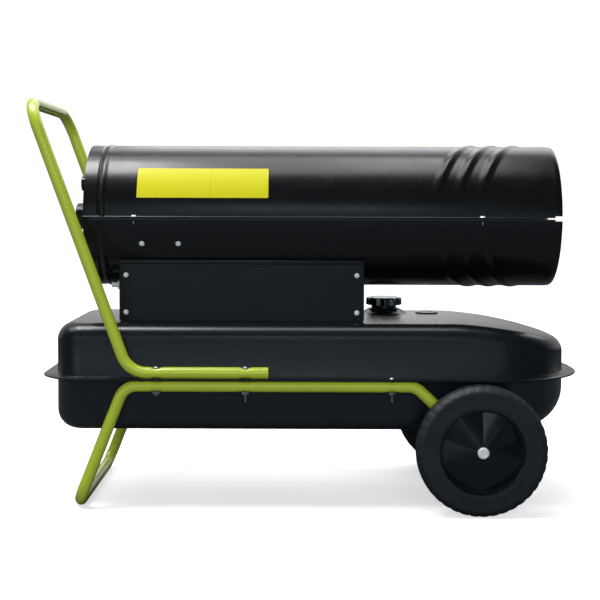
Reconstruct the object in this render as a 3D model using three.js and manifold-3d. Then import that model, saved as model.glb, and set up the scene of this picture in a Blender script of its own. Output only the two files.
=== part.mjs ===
// A portable forced air heater: a sheet-metal barrel on a control box, on a pressed fuel tank,
// on a bent tube frame with two wheels, and a bent tube handle. Millimetres, +Z up.
// X runs along the barrel from the inlet (rear, -X) to the hot outlet (front, +X).
// Y = 0 is the middle plane. The side at -Y is called near, the side at +Y far.
// The origin lies under the middle of the whole object, on the ground.

import * as THREE from 'three';
import { mergeVertices } from 'three/addons/utils/BufferGeometryUtils.js';
import Module from 'manifold-3d';

const wasm = await Module();
wasm.setup();

// ---------------------------------------------------------------- driving dimensions

// fits
const seat = 0.3;              // clearance between two pieces that rest on each other
const running = 0.3;           // radial clearance of a turning or sliding piece

// wheels and axle
const wheelDiameter = 206;
const wheelWidth = 38;
const tyreDepth = 35.5;        // from the tread to the rim
const treadShoulder = 7;
const axleX = 277.2;
const axleDiameter = 12;
const hubDiameter = 20;
const rimWall = 3.2;
const rimStep = 5.5;           // width of the ring between the tyre and the pleated disc
const rimRecess = 9;           // how far the disc lies behind the tyre's face
const pleatDepth = 6;
const pleatPairs = 5;
const discThickness = 3;
const wheelGap = 2.5;          // between the frame tube and the wheel
const axleCapDiameter = 18;
const axleCapHeight = 4;

// frame tubes
const tubeDiameter = 19;
const tubeBoreDepth = 30;
const tubeWall = 1.8;
const tubeSides = 8;
const tubeY = 155;             // centre line of both side tubes
const frameRearX = -286.4;     // where the rear legs leave the side tubes
const frameFrontX = 176;       // where the front legs leave the side tubes
const footX = -360.4;
const footBend = 34;
const legBend = 30;
const axleLegOverrun = 13;     // tube beyond the axle
const handleRearX = -280;
const handleFrontX = -57.4;
const gripX = -436.4;
const gripZ = 647.4;
const handleBend = 42;
const gripBend = 45;

// bolts through flange and tubes
const boltXs = [-235.4, -93.9, 139.1];
const boltTails = [2.5, 11, 11];
const boltDiameter = 6;
const boltSides = 6;
const boltHeadDiameter = 12;
const boltHeadHeight = 2.6;
const nutWidth = 11;
const nutHeight = 5;

// tank
const tankBottomZ = 124;
const tankSeamZ = 208.65;      // between the two flanges
const tankTopZ = 294.9;
const tankRearX = -402.4;
const tankFrontX = 436;
const tankHalfWidth = 143;
const tankRearCorner = 46;
const tankFrontCorner = 132;
const tankSheet = 1.2;
const flangeRearWidth = 25.2;
const flangeFrontWidth = 21;
const flangeSideWidth = 24;
const flangeRearCorner = 85;
const flangeFrontCorner = 150;
const topRadii = { rear: 28, side: 25, front: 20 };
const bottomRadii = { rear: 30, side: 20, front: 60 };
const rearSteps = 4;           // facets of each corner seen from above
const frontSteps = 6;
const rampStartX = 254.6;      // the top slopes down towards the front from here
const rampSlope = 0.235;

// filler
const fillerX = 141.1;
const fillerY = 78;
const domeRadius = 40;
const domeTopRadius = 25;
const domeHeight = 7.8;
const neckRadius = 22;
const neckWall = 2;
const neckHeight = 12;
const capRadius = 31.5;
const capHeight = 13.5;
const capScallops = 12;
const capScallopDepth = 2.6;
const capLift = 6.2;           // underside of the cap above the dome
const strainerRadius = 17;
const strainerDepth = 92;
const strainerWall = 1;
const gasketHeight = 1.3;
const lipHeight = 0.8;

// fuel gauge
const gaugeX = 216.3;
const gaugeY = 68;
const gaugeRadius = 20;
const gaugeHeight = 2;
const gaugeWell = 16;          // radius of the body through the tank top
const gaugeWellDepth = 20;
const gaugeWellWall = 1.8;
const gaugeDialDepth = 3.5;
const magnetHeight = 5;         // of the disc that carries the needle
const lensThickness = 1.2;
const floatPivotZ = 218.4;
const floatArm = 100;
const floatDrop = 35;          // degrees below level with an empty tank
const floatRadius = 13;
const floatLength = 34;

// barrel
const barrelAboveTank = 54.4;  // between the tank's top and the bottom of the barrel
const barrelRadius = 115.5;
const upperRise = 4.5;         // the upper half stands this much taller than a half circle
const barrelRearX = -358.4;
const barrelFrontX = 415.6;
const barrelSheet = 1.2;
const barrelSides = 36;
const seamFlange = 12.5;
const seamFlangeFrontX = 388.7;
const lowerFlangeStart = 17;   // the lower flange starts this far from the rear edge
const grooveFromEdge = 16.5;
const grooveDepth = 1.4;
const grooveWidth = 5;
const beadWidth = 12;
const beadHeight = 1.6;
const mouthRoll = 9;
const mouthRollIn = 3;
const notchLength = 12;
const notchHeight = 8;
const slitHeight = 2.4;
const ridgeTopXs = [283, 318.5, 355];
const ridgeSweep = 72;
const ridgeFoot = 15;          // degrees above the seam where a ridge fades out
const ridgeWidth = 17;
const ridgeHeight = 2.2;

// combustion chamber
const airGap = 27.5;           // between the outer faces of the barrel and the chamber
const chamberRearX = -106;
const chamberFrontX = 372;
const chamberSheet = 1.2;
const chamberSides = 18;
const airHoleRadius = 7;
const airHoleCount = 7;
const airHoleXs = [-60, 300];
const legXs = [-50, 330];
const legWidth = 14;
const legLength = 22;
const coneLength = 24;
const sleeveLength = 20;       // of the cone's sleeve inside the chamber
const coneMouth = 60;
const targetRadius = 38;
const headPlate = 1.5;
const headLip = 13;
const swirlCount = 6;
const swirlInner = 40;
const swirlOuter = 66;
const swirlSlot = 5;
const swirlTilt = 35;

// nozzle, plug and cell on the burner head
const adapterSize = 24;
const adapterLength = 18;
const nozzleFlange = 18;
const nozzleFlangeHeight = 2.7;
const noseRadius = 9;
const noseLength = 12;
const plugOffset = 30;
const plugRadius = 7;
const plugFlange = 10;
const cellOffset = 48;
const cellRadius = 7;

// motor, fan and pump
const shaftRadius = 6;
const fanTipGap = 15.5;        // between the blades' tips and the barrel's outer face
const fanHubRadius = 20;
const fanHubLength = 34;
const fanBlades = 5;
const fanToHead = 30;          // from the fan to the chamber
const bladeThickness = 1.6;
const bladeRootChord = 34;
const bladeTipChord = 58;
const bladeRootPitch = 48;
const bladeTipPitch = 26;
const fanToMotor = 14;
const motorRadius = 43;
const motorLength = 128.7;
const motorBell = 12;
const pumpRadius = 45;
const pumpLength = 28;
const pumpChamber = 33;
const rotorLength = 18;
const vaneSlots = 4;
const vaneSlotWidth = 3;
const vaneSlotDepth = 15;
const pumpCoverRadius = 56;
const pumpCoverLength = 15;
const filterRadius = 22;
const filterLength = 31.6;
const filterWall = 2;
const pressureGaugeZ = 55.6;   // above the barrel's axis
const pressureGaugeRadius = 12.5;
const pressureGaugeLength = 17.5;
const pressureGaugeStem = 5.5;
const shelfLength = 90;
const shelfSheet = 2;
const shelfTab = 12;           // degrees of shell that each tab covers

// inlet guard
const guardFromEdge = 6;
const guardWire = 3;
const guardRim = 3.5;
const guardInner = 74;
const guardSpokes = 6;

// control box
const boxRearX = -301.4;
const boxFrontX = 95.4;
const boxHalfWidth = 94.5;
const boxSheet = 1.5;
const coverGap = 4.7;          // between the side covers and the barrel
const boxReturn = 20;          // in-turned strips that the covers are screwed to
const boxLip = 9;
const coverSheet = 1.2;
const coverLip = 5;
const lipDrop = 6;             // the bent ends stop below the barrel
const coverBottomZ = 296.8;
const fittingHole = 16;
const pickupX = -117;
const pickupY = 60;
const pickupRadius = 4;
const pickupNut = 12;
const pickupNutHeight = 9;
const pickupClearance = 12;    // from the tank's floor
const lineRadius = 3;
const lineHole = 7;
const lineBend = 20;
const airLineOffset = 107;     // below the barrel's axis
const boardX = 0;
const boardLength = 120;
const boardWidth = 90;
const boardThickness = 1.6;
const boardPost = 8;
const relayAt = [-26, -22];
const relaySize = [28, 16, 16];
const supplyAt = [26, -19];
const supplySize = [36, 30, 24];
const terminalsAt = [0, 35.5];
const terminalsSize = [100, 11, 11];
const capacitorAt = [-28, 10];
const capacitorSize = [8, 20];
const transformerX = -200;
const transformerSize = [66, 56, 44];
const glandY = -65;
const glandZ = 352.4;
const glandRadius = 4.2;
const glandReach = 18.2;
const glandNut = 7;
const glandNutLength = 6;
const controlsZ = 347.4;
const knobX = -235;
const knobRadius = 17;
const knobHeight = 16;
const knobShaft = 3;
const switchX = -165;
const switchOpening = [17, 27];
const switchBezel = 4;
const switchBezelHeight = 2;
const switchDepth = 18;
const rockerTilt = 11;

// ---------------------------------------------------------------- places worked out from them

const tubeRadius = tubeDiameter / 2;
const middleX = (tankFrontX + flangeFrontWidth + gripX - tubeRadius) / 2;
const wheelRadius = wheelDiameter / 2;
const axleZ = wheelRadius;
const axleRadius = axleDiameter / 2;
const wheelY = tubeY + tubeRadius + wheelGap + wheelWidth / 2;
const upperFlangeZ = tankSeamZ + seat / 2;
const lowerFlangeZ = tankSeamZ - seat / 2 - tankSheet;
const barrelZ = tankTopZ + barrelAboveTank + barrelRadius;
const chamberRadius = barrelRadius - airGap;
const fanRadius = barrelRadius - fanTipGap;
const tubeFlat = tubeRadius * Math.cos(Math.PI / tubeSides);
const handleZ = upperFlangeZ + tankSheet + seat + tubeFlat;
const frameZ = lowerFlangeZ - seat - tubeFlat;
const barrelInner = barrelRadius - barrelSheet;
const barrelFlat = barrelInner * Math.cos(Math.PI / barrelSides);
const boxBottomZ = tankTopZ + seat;
const boxFloorZ = boxBottomZ + boxSheet;
const coverFaceY = boxHalfWidth + seat + coverSheet;
const boxTopZ = barrelZ - Math.sqrt(barrelRadius ** 2 - coverFaceY ** 2) - coverGap;
const headX = chamberRearX + 2;
const fanFrontX = chamberRearX - fanToHead;
const fanRearX = fanFrontX - fanHubLength;
const motorFrontX = fanRearX - fanToMotor;
const motorRearX = motorFrontX - motorLength;
const pumpFrontX = motorRearX - seat;
const pumpRearX = pumpFrontX - pumpLength;
const coverRearX = pumpRearX - seat - pumpCoverLength;
const adapterX = headX - seat - nozzleFlangeHeight - adapterLength / 2;
const domeTopZ = tankTopZ + domeHeight;
const neckTopZ = domeTopZ + neckHeight;
const capBottomZ = domeTopZ + capLift;
const rimOuter = wheelRadius - tyreDepth - seat;

// ---------------------------------------------------------------- finishes

function finish(color, roughness, metalness) {
  return { color, roughness, metalness };
}

const blackPaint = finish(0x2a2c30, 0.42, 0.25);
const greenPaint = finish(0xa3b42c, 0.4, 0.1);
const rubber = finish(0x1d1e20, 0.85, 0);
const blackPlastic = finish(0x222326, 0.55, 0);
const zinc = finish(0xc4c8cc, 0.35, 0.9);
const steel = finish(0x9a9da1, 0.4, 0.9);
const castAlloy = finish(0xa9abad, 0.55, 0.7);
const hotSteel = finish(0x8d8a84, 0.5, 0.8);
const brass = finish(0xb99a52, 0.35, 0.9);
const clearPlastic = finish(0xdfe6e8, 0.1, 0);
const redPlastic = finish(0xb3261e, 0.4, 0);
const board = finish(0x2f6b3c, 0.6, 0);
const ceramic = finish(0xe9e4d8, 0.3, 0);

// ---------------------------------------------------------------- solids

const degrees = THREE.MathUtils.degToRad;
const group = new THREE.Group();

// A closed three.js geometry with shared corners and no flat-folded triangles, faces pointing out.
// Its corners lie on a grid of a thousandth, so that faces meant to be in one plane are.
function closedMesh(geometry) {
  const plain = geometry.clone();
  plain.deleteAttribute('normal');
  plain.deleteAttribute('uv');
  const loose = plain.attributes.position.array;
  for (let i = 0; i < loose.length; i += 1) loose[i] = Math.round(loose[i] * 1000) / 1000;
  const merged = mergeVertices(plain, 1e-4);
  const place = merged.attributes.position.array;
  const corners = merged.index.array;
  const kept = [];
  let volume = 0;
  const a = new THREE.Vector3();
  const b = new THREE.Vector3();
  const c = new THREE.Vector3();
  for (let i = 0; i < corners.length; i += 3) {
    const [p, q, r] = [corners[i], corners[i + 1], corners[i + 2]];
    if (p === q || q === r || r === p) continue;
    kept.push(p, q, r);
    a.fromArray(place, 3 * p);
    b.fromArray(place, 3 * q);
    c.fromArray(place, 3 * r);
    volume += a.dot(b.cross(c));
  }
  if (volume < 0) kept.reverse();
  return { place, kept };
}

function solid(geometry) {
  const { place, kept } = closedMesh(geometry);
  const mesh = new wasm.Mesh({ numProp: 3, vertProperties: place, triVerts: Uint32Array.from(kept) });
  return new wasm.Manifold(mesh);
}

// Pieces are laid out from a point near the barrel's middle. Each is then moved back along X, so
// that the origin lies under the middle of the whole object.
function addPart(name, body, look) {
  const mesh = body.translate([-middleX, 0, 0]).getMesh();
  const geometry = new THREE.BufferGeometry();
  geometry.setAttribute('position', new THREE.BufferAttribute(mesh.vertProperties, 3));
  geometry.setIndex(new THREE.BufferAttribute(mesh.triVerts, 1));
  geometry.computeVertexNormals();
  const part = new THREE.Mesh(geometry, new THREE.MeshStandardMaterial(look));
  part.name = name;
  group.add(part);
}

function union(bodies) {
  return bodies.reduce((whole, body) => whole.add(body));
}

function cut(body, tools) {
  return tools.reduce((rest, tool) => rest.subtract(tool), body);
}

// A block between two corners.
function block(low, high) {
  const geometry = new THREE.BoxGeometry(high[0] - low[0], high[1] - low[1], high[2] - low[2]);
  geometry.translate((low[0] + high[0]) / 2, (low[1] + high[1]) / 2, (low[2] + high[2]) / 2);
  return solid(geometry);
}

const turnTo = {
  x: (geometry) => geometry.rotateZ(-Math.PI / 2),
  y: (geometry) => geometry,
  z: (geometry) => geometry.rotateX(Math.PI / 2),
};

// A profile of [radius, height] pairs revolved about an axis through the centre.
function turned(profile, axis, centre, sides = 24) {
  const points = profile.map(([radius, height]) => new THREE.Vector2(radius, height));
  const geometry = turnTo[axis](new THREE.LatheGeometry(points, sides));
  geometry.translate(...centre);
  return solid(geometry);
}

// A round bar along an axis, between two heights on it.
function rod(radius, low, high, axis, centre, sides = 16) {
  return turned([[0, low], [radius, low], [radius, high], [0, high]], axis, centre, sides);
}

// A closed ring of rectangular section.
function ring(inner, outer, low, high, axis, centre, sides = 24) {
  const profile = [[inner, low], [outer, low], [outer, high], [inner, high], [inner, low]];
  return turned(profile, axis, centre, sides);
}

// An outline in the YZ plane, given as [y, z], drawn out along X.
function drawnAlongX(outline, fromX, toX) {
  const shape = new THREE.Shape(outline.map(([y, z]) => new THREE.Vector2(y, z)));
  const geometry = new THREE.ExtrudeGeometry(shape, { depth: toX - fromX, bevelEnabled: false });
  geometry.rotateX(Math.PI / 2);
  geometry.rotateZ(Math.PI / 2);
  geometry.translate(fromX, 0, 0);
  return solid(geometry);
}

// A skin over rings of equally many points, closed at both ends by a fan, or where the rings
// are mirrored about Y = 0 by strips from each point to its mirror.
function lofted(rings, mirrored = false) {
  const count = rings[0].length;
  const points = rings.flat();
  const faces = [];
  for (let row = 0; row + 1 < rings.length; row += 1) {
    for (let i = 0; i < count; i += 1) {
      const j = (i + 1) % count;
      const [a, b] = [row * count + i, row * count + j];
      faces.push(a, b, b + count, a, b + count, a + count);
    }
  }
  const last = (rings.length - 1) * count;
  if (mirrored) {
    for (let i = 0; i + 1 < count / 2; i += 1) {
      const [k, l] = [count - 1 - i, count - 2 - i];
      faces.push(i, k, i + 1, i + 1, k, l);
      faces.push(last + i, last + i + 1, last + k, last + i + 1, last + l, last + k);
    }
  } else {
    for (let i = 1; i + 1 < count; i += 1) {
      faces.push(0, i + 1, i);
      faces.push(last, last + i, last + i + 1);
    }
  }
  const geometry = new THREE.BufferGeometry().setFromPoints(points);
  geometry.setIndex(faces);
  return solid(geometry);
}

// The centre line of a bent tube: straight runs between corners, each corner rounded by an arc.
// A sweep along it has a section at every knot and nowhere else.
class BentLine extends THREE.Curve {
  constructor(corners, bends) {
    super();
    this.knots = [corners[0]];
    for (let i = 1; i + 1 < corners.length; i += 1) {
      this.addBend(corners[i - 1], corners[i], corners[i + 1], bends[i - 1]);
    }
    this.knots.push(corners[corners.length - 1]);
  }

  addBend(before, corner, after, radius) {
    const back = before.clone().sub(corner).normalize();
    const on = after.clone().sub(corner).normalize();
    const half = back.angleTo(on) / 2;
    const centre = back.clone().add(on).normalize().multiplyScalar(radius / Math.sin(half)).add(corner);
    const start = back.clone().multiplyScalar(radius / Math.tan(half)).add(corner).sub(centre);
    const axis = back.clone().cross(on).normalize();
    const sweep = Math.PI - 2 * half;
    const steps = Math.max(2, Math.round(sweep / degrees(20)));
    for (let k = 0; k <= steps; k += 1) {
      this.knots.push(start.clone().applyAxisAngle(axis, -sweep * k / steps).add(centre));
    }
  }

  getPoint(t) {
    const last = this.knots.length - 1;
    const at = Math.min(Math.floor(t * last + 1e-6), last - 1);
    return this.knots[at].clone().lerp(this.knots[at + 1], t * last - at);
  }

  getPointAt(t) {
    return this.getPoint(t);
  }

  getTangentAt(t) {
    const last = this.knots.length - 1;
    const at = Math.round(t * last);
    const here = this.knots[at];
    const on = this.knots[Math.min(at + 1, last)].clone().sub(here).normalize();
    const from = here.clone().sub(this.knots[Math.max(at - 1, 0)]).normalize();
    return on.add(from).normalize();
  }
}

// The section's first corner is turned by half a side, so that a flat side lies on what it meets.
function sweptGeometry(line, radius, sides) {
  const section = new THREE.Shape();
  for (let k = 0; k <= sides; k += 1) {
    const angle = (k + 0.5) * 2 * Math.PI / sides;
    const [x, y] = [radius * Math.cos(angle), radius * Math.sin(angle)];
    if (k === 0) section.moveTo(x, y);
    else section.lineTo(x, y);
  }
  const steps = line.knots.length - 1;
  return new THREE.ExtrudeGeometry(section, { steps, extrudePath: line, bevelEnabled: false });
}

function point(x, y, z) {
  return new THREE.Vector3(x, y, z);
}

// ---------------------------------------------------------------- tank

// Plan of the tank or its flange as [x, y, nx, ny], the near side from rear to front and then
// the far side back again, so that each point has its mirror at the other end of the list.
function plan(rearX, frontX, halfWidth, rearCorner, frontCorner) {
  const near = [];
  const arc = (x, y, radius, from, steps) => {
    for (let k = 0; k <= steps; k += 1) {
      const angle = degrees(from + 90 * k / steps);
      const [nx, ny] = [Math.cos(angle), Math.sin(angle)];
      near.push([x + radius * nx, y + radius * ny, nx, ny]);
    }
  };
  arc(rearX + rearCorner, rearCorner - halfWidth, rearCorner, 180, rearSteps);
  near.push([rampStartX, -halfWidth, 0, -1]);
  near.push([(rampStartX + frontX - frontCorner) / 2, -halfWidth, 0, -1]);
  arc(frontX - frontCorner, frontCorner - halfWidth, frontCorner, 270, frontSteps);
  const far = near.map(([x, y, nx, ny]) => [x, -y, nx, -ny]).reverse();
  return [...near, ...far];
}

const tankPlan = plan(tankRearX, tankFrontX, tankHalfWidth, tankRearCorner, tankFrontCorner);
const flangePlan = plan(
  tankRearX - flangeRearWidth,
  tankFrontX + flangeFrontWidth,
  tankHalfWidth + flangeSideWidth,
  flangeRearCorner,
  flangeFrontCorner,
);

function tankTopAt(x) {
  return tankTopZ - rampSlope * Math.max(0, x - rampStartX);
}

function edgeRadius(radii, nx) {
  const end = nx < 0 ? radii.rear : radii.front;
  return radii.side + (end - radii.side) * nx * nx;
}

// One half of the tank: a pressed sheet with a rounded edge, and a flat flange at the seam.
// side is 1 for the upper half and -1 for the lower one; faceAt gives the outer face's height.
function tankHalf(side, radii, seamZ, faceAt) {
  const skin = (inset, bend) => tankPlan.map(([x, y, nx, ny]) => {
    const radius = edgeRadius(radii, nx) - inset;
    const back = inset + radius * (1 - Math.cos(bend));
    const [px, py] = [x - nx * back, y - ny * back];
    return point(px, py, faceAt(px) - side * (inset + radius * (1 - Math.sin(bend))));
  });
  const foot = (inset, z) => tankPlan.map(([x, y, nx, ny]) => point(x - nx * inset, y - ny * inset, z));
  const rim = (z) => flangePlan.map(([x, y]) => point(x, y, z));
  const bends = [90, 45, 0].map(degrees);
  const outerZ = seamZ + side * tankSheet;
  return lofted([
    ...bends.map((bend) => skin(0, bend)),
    foot(0, outerZ),
    rim(outerZ),
    rim(seamZ),
    foot(tankSheet, seamZ),
    ...bends.reverse().map((bend) => skin(tankSheet, bend)),
  ], true);
}

const boltPlaces = boltXs.flatMap((x) => [-tubeY, tubeY].map((y) => [x, y]));

function boltHoles(fromZ, toZ, places = boltPlaces) {
  return places.map(([x, y]) => rod(boltDiameter / 2 + running, fromZ, toZ, 'z', [x, y, 0], boltSides));
}

function makeTank() {
  const filler = [fillerX, fillerY, 0];
  const domeFootZ = tankTopZ - tankSheet / 2;
  const dome = turned([
    [0, domeFootZ], [domeRadius, domeFootZ], [domeRadius, tankTopZ], [domeTopRadius, domeTopZ],
    [neckRadius, domeTopZ], [neckRadius, neckTopZ], [0, neckTopZ],
  ], 'z', filler, 16);
  const domeHollow = turned([
    [0, tankTopZ - 2 * tankSheet], [domeRadius - tankSheet, tankTopZ - 2 * tankSheet],
    [domeRadius - tankSheet, tankTopZ - tankSheet], [domeTopRadius - tankSheet, domeTopZ - tankSheet],
    [neckRadius - neckWall, domeTopZ - tankSheet], [neckRadius - neckWall, neckTopZ + 1],
    [0, neckTopZ + 1],
  ], 'z', filler, 16);
  const gaugeHole = rod(gaugeWell + running, tankTopZ - 5, tankTopZ + 5, 'z', [gaugeX, gaugeY, 0], 16);
  const pickupAt = [pickupX, pickupY, 0];
  const pickupHole = rod(pickupRadius + running, tankTopZ - 5, tankTopZ + 5, 'z', pickupAt, 8);
  const upperPressing = tankHalf(1, topRadii, upperFlangeZ, tankTopAt).add(dome);
  const upperHoles = boltHoles(upperFlangeZ - 1, upperFlangeZ + 3);
  const openings = [domeHollow, gaugeHole, pickupHole, ...upperHoles];
  addPart('tank_upper', cut(upperPressing, openings), blackPaint);

  const lowerPressing = tankHalf(-1, bottomRadii, lowerFlangeZ + tankSheet, () => tankBottomZ);
  addPart('tank_lower', cut(lowerPressing, boltHoles(lowerFlangeZ - 2, lowerFlangeZ + 3)), blackPaint);
}

// ---------------------------------------------------------------- filler cap and strainer

// The cap's outline is a circle with hollows pressed into it for the fingers.
function capOutline() {
  const steps = 3 * capScallops;
  const outline = [];
  for (let k = 0; k < steps; k += 1) {
    const angle = 2 * Math.PI * k / steps;
    const hollow = [0, 0.9, 0.9][k % 3];
    const radius = capRadius - capScallopDepth * hollow;
    outline.push(new THREE.Vector2(radius * Math.cos(angle), radius * Math.sin(angle)));
  }
  return new THREE.Shape(outline);
}

function makeFiller() {
  const filler = [fillerX, fillerY, 0];
  const ceilingZ = neckTopZ + seat + lipHeight + seat + gasketHeight + seat;
  const cap = new THREE.ExtrudeGeometry(capOutline(), { depth: capHeight, bevelEnabled: false });
  cap.translate(fillerX, fillerY, capBottomZ);
  const capTopZ = capBottomZ + capHeight;
  const chamfer = 2.5;
  const rounded = turned([
    [0, capBottomZ - 1], [capRadius + 1, capBottomZ - 1], [capRadius + 1, capTopZ - chamfer],
    [capRadius + 1 - chamfer - 1, capTopZ], [0, capTopZ],
  ], 'z', filler, 18);
  const neckSpace = rod(neckRadius + 2 * running, capBottomZ - 1, ceilingZ, 'z', filler, 16);
  addPart('fuel_cap', solid(cap).intersect(rounded).subtract(neckSpace), zinc);

  const lipTopZ = neckTopZ + seat + lipHeight;
  const sealZ = lipTopZ + seat;
  const seal = ring(neckRadius - neckWall, neckRadius, sealZ, sealZ + gasketHeight, 'z', filler, 16);
  addPart('cap_gasket', seal, rubber);

  const floorZ = neckTopZ - strainerDepth;
  const strainer = turned([
    [0, floorZ], [strainerRadius, floorZ], [strainerRadius, neckTopZ + seat],
    [neckRadius, neckTopZ + seat], [neckRadius, lipTopZ], [strainerRadius - strainerWall, lipTopZ],
    [strainerRadius - strainerWall, floorZ + strainerWall], [0, floorZ + strainerWall],
  ], 'z', filler, 16);
  addPart('fuel_strainer', strainer, blackPlastic);
}

// ---------------------------------------------------------------- fuel gauge

function makeGauge() {
  const centre = [gaugeX, gaugeY, 0];
  const rimZ = tankTopZ + seat;
  const topZ = rimZ + gaugeHeight;
  const dialZ = topZ - gaugeDialDepth;
  const wellZ = tankTopZ - gaugeWellDepth;
  const magnetZ = dialZ - magnetHeight;
  const pocketRadius = gaugeWell - gaugeWellWall;
  const stemRadius = 5;
  const forkZ = floatPivotZ + 12;
  const body = turned([
    [0, forkZ], [stemRadius, forkZ], [stemRadius, wellZ], [gaugeWell, wellZ], [gaugeWell, rimZ],
    [gaugeRadius, rimZ], [gaugeRadius, topZ - 1], [gaugeRadius - 1, topZ], [pocketRadius, topZ],
    [pocketRadius, magnetZ - seat], [0, magnetZ - seat],
  ], 'z', centre, 16);
  const forkHalf = 9;
  const slotHalf = 4;
  const fork = block(
    [gaugeX - forkHalf, gaugeY - stemRadius, floatPivotZ - 6],
    [gaugeX + forkHalf, gaugeY + stemRadius, forkZ + 4],
  );
  const forkSlot = block(
    [gaugeX - slotHalf, gaugeY - 2 * stemRadius, floatPivotZ - 7],
    [gaugeX + slotHalf, gaugeY + 2 * stemRadius, floatPivotZ + 8],
  );
  const pinRadius = 2;
  const pivot = [gaugeX, gaugeY, floatPivotZ];
  const pinHole = rod(pinRadius + running, -2 * forkHalf, 2 * forkHalf, 'x', pivot, 8);
  addPart('gauge_body', cut(body.add(fork), [forkSlot, pinHole]), blackPlastic);

  const lens = rod(pocketRadius - seat, topZ - lensThickness - 0.4, topZ - 0.4, 'z', centre, 16);
  addPart('gauge_lens', lens, clearPlastic);

  // The float's arm turns the needle through a magnet: the disc under the needle is its other half.
  const magnet = rod(pocketRadius - 3 * running, magnetZ, dialZ, 'z', centre, 16);
  const needleHub = rod(2.4, magnetZ, dialZ + 1, 'z', centre, 8);
  const needleBar = block(
    [gaugeX - 4, gaugeY - 0.8, magnetZ + 1],
    [gaugeX + pocketRadius - 4, gaugeY + 0.8, dialZ + 0.7],
  );
  addPart('gauge_needle', union([magnet, needleHub, needleBar]), zinc);

  const drop = degrees(floatDrop);
  const end = point(gaugeX, gaugeY - floatArm * Math.cos(drop), floatPivotZ - floatArm * Math.sin(drop));
  const arm = solid(sweptGeometry(new BentLine([point(...pivot), end], []), 1.5, 6));
  const armEye = rod(pinRadius + 2, -slotHalf + running, slotHalf - running, 'x', pivot, 8);
  const pin = rod(pinRadius, -forkHalf, forkHalf, 'x', pivot, 8);
  const half = floatLength / 2;
  const float = turned([
    [0, -half], [floatRadius - 3, -half], [floatRadius, 3 - half], [floatRadius, half - 3],
    [floatRadius - 3, half], [0, half],
  ], 'x', end.toArray(), 12);
  addPart('gauge_float', union([arm, armEye, pin, float]), brass);
}

// ---------------------------------------------------------------- barrel

function shellProfile(offset) {
  const r = barrelRadius - offset;
  const grooveX = barrelRearX + grooveFromEdge;
  const beadX = grooveX + grooveWidth / 2;
  return [
    [r, barrelRearX],
    [r, grooveX - grooveWidth / 2],
    [r - grooveDepth, grooveX - grooveWidth / 6],
    [r - grooveDepth, grooveX + grooveWidth / 6],
    [r, beadX],
    [r + beadHeight, beadX + beadWidth / 3],
    [r + beadHeight, beadX + 2 * beadWidth / 3],
    [r, beadX + beadWidth],
    [r, barrelFrontX - mouthRoll],
    [r - mouthRollIn, barrelFrontX],
  ];
}

// A ridge pressed out of the shell, from the near seam over the top to the far seam. It climbs
// towards the outlet as it rises and fades out above the seam.
function ridge(topX, side) {
  const base = barrelRadius - barrelSheet / 2;
  const steps = Math.round((180 - 2 * ridgeFoot) * barrelSides / 360);
  const rings = [];
  for (let k = 0; k <= steps; k += 1) {
    const angle = ridgeFoot + (180 - 2 * ridgeFoot) * k / steps;
    const climb = 1 - Math.abs(angle - 90) / (90 - ridgeFoot);
    const x = topX - ridgeSweep * (1 - climb ** 1.4);
    const rise = (ridgeHeight + barrelSheet / 2) * Math.min(1, 0.02 + 3 * climb);
    const section = [[-0.5, 0], [-0.2, 1], [0.2, 1], [0.5, 0]];
    rings.push(section.map(([across, up]) => {
      const radius = base + up * rise;
      const z = barrelZ + side * radius * Math.sin(degrees(angle));
      return point(x + across * ridgeWidth, -radius * Math.cos(degrees(angle)), z);
    }));
  }
  return lofted(rings);
}

// Half of the barrel, with a flat seam flange on each side. side is 1 above, -1 below.
function shellHalf(side, flangeRearX) {
  const outer = shellProfile(0);
  const inner = shellProfile(barrelSheet).reverse();
  const tube = turned([...outer, ...inner, outer[0]], 'x', [0, 0, barrelZ], barrelSides);
  const reach = 2 * barrelRadius;
  const seamZ = barrelZ + side * seat / 2;
  const wing = (z0, z1, y0, y1, x0, x1) => block([x0, y0, Math.min(z0, z1)], [x1, y1, Math.max(z0, z1)]);
  const space = wing(seamZ, seamZ + side * reach, -reach, reach, barrelRearX - 1, barrelFrontX + 1);
  const wingIn = barrelRadius - barrelSheet / 2;
  const wingOut = barrelRadius + seamFlange;
  const wings = [[-wingOut, -wingIn], [wingIn, wingOut]].map(([y0, y1]) => (
    wing(seamZ, seamZ + side * barrelSheet, y0, y1, flangeRearX, seamFlangeFrontX)
  ));
  const ridges = ridgeTopXs.map((x) => ridge(x, side));
  const notch = block(
    [barrelFrontX - notchLength, -reach, barrelZ - notchHeight / 2],
    [barrelFrontX + 1, reach, barrelZ + notchHeight / 2],
  );
  const slit = block(
    [seamFlangeFrontX + seat, -reach, barrelZ - slitHeight / 2],
    [barrelFrontX, reach, barrelZ + slitHeight / 2],
  );
  return cut(union([tube.intersect(space), ...wings, ...ridges]), [notch, slit]);
}

function makeBarrel() {
  const rise = 1 + upperRise / barrelRadius;
  const onSeam = shellHalf(1, barrelRearX).translate([0, 0, -barrelZ]);
  addPart('upper_shell', onSeam.scale([1, 1, rise]).translate([0, 0, barrelZ]), blackPaint);
  const lineExit = rod(lineHole, 0, barrelZ, 'z', [pickupX, pickupY, 0], 12);
  addPart('lower_shell', shellHalf(-1, barrelRearX + lowerFlangeStart).subtract(lineExit), blackPaint);
}

// ---------------------------------------------------------------- combustion chamber

const barrelAxis = [0, 0, barrelZ];

// A copy of a body turned about the barrel's axis.
function aboutBarrel(body, turn) {
  const c = Math.cos(degrees(turn));
  const s = Math.sin(degrees(turn));
  const shiftY = s * barrelZ;
  const shiftZ = barrelZ - c * barrelZ;
  return body.transform([1, 0, 0, 0, 0, c, s, 0, 0, -s, c, 0, 0, shiftY, shiftZ, 1]);
}

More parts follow.
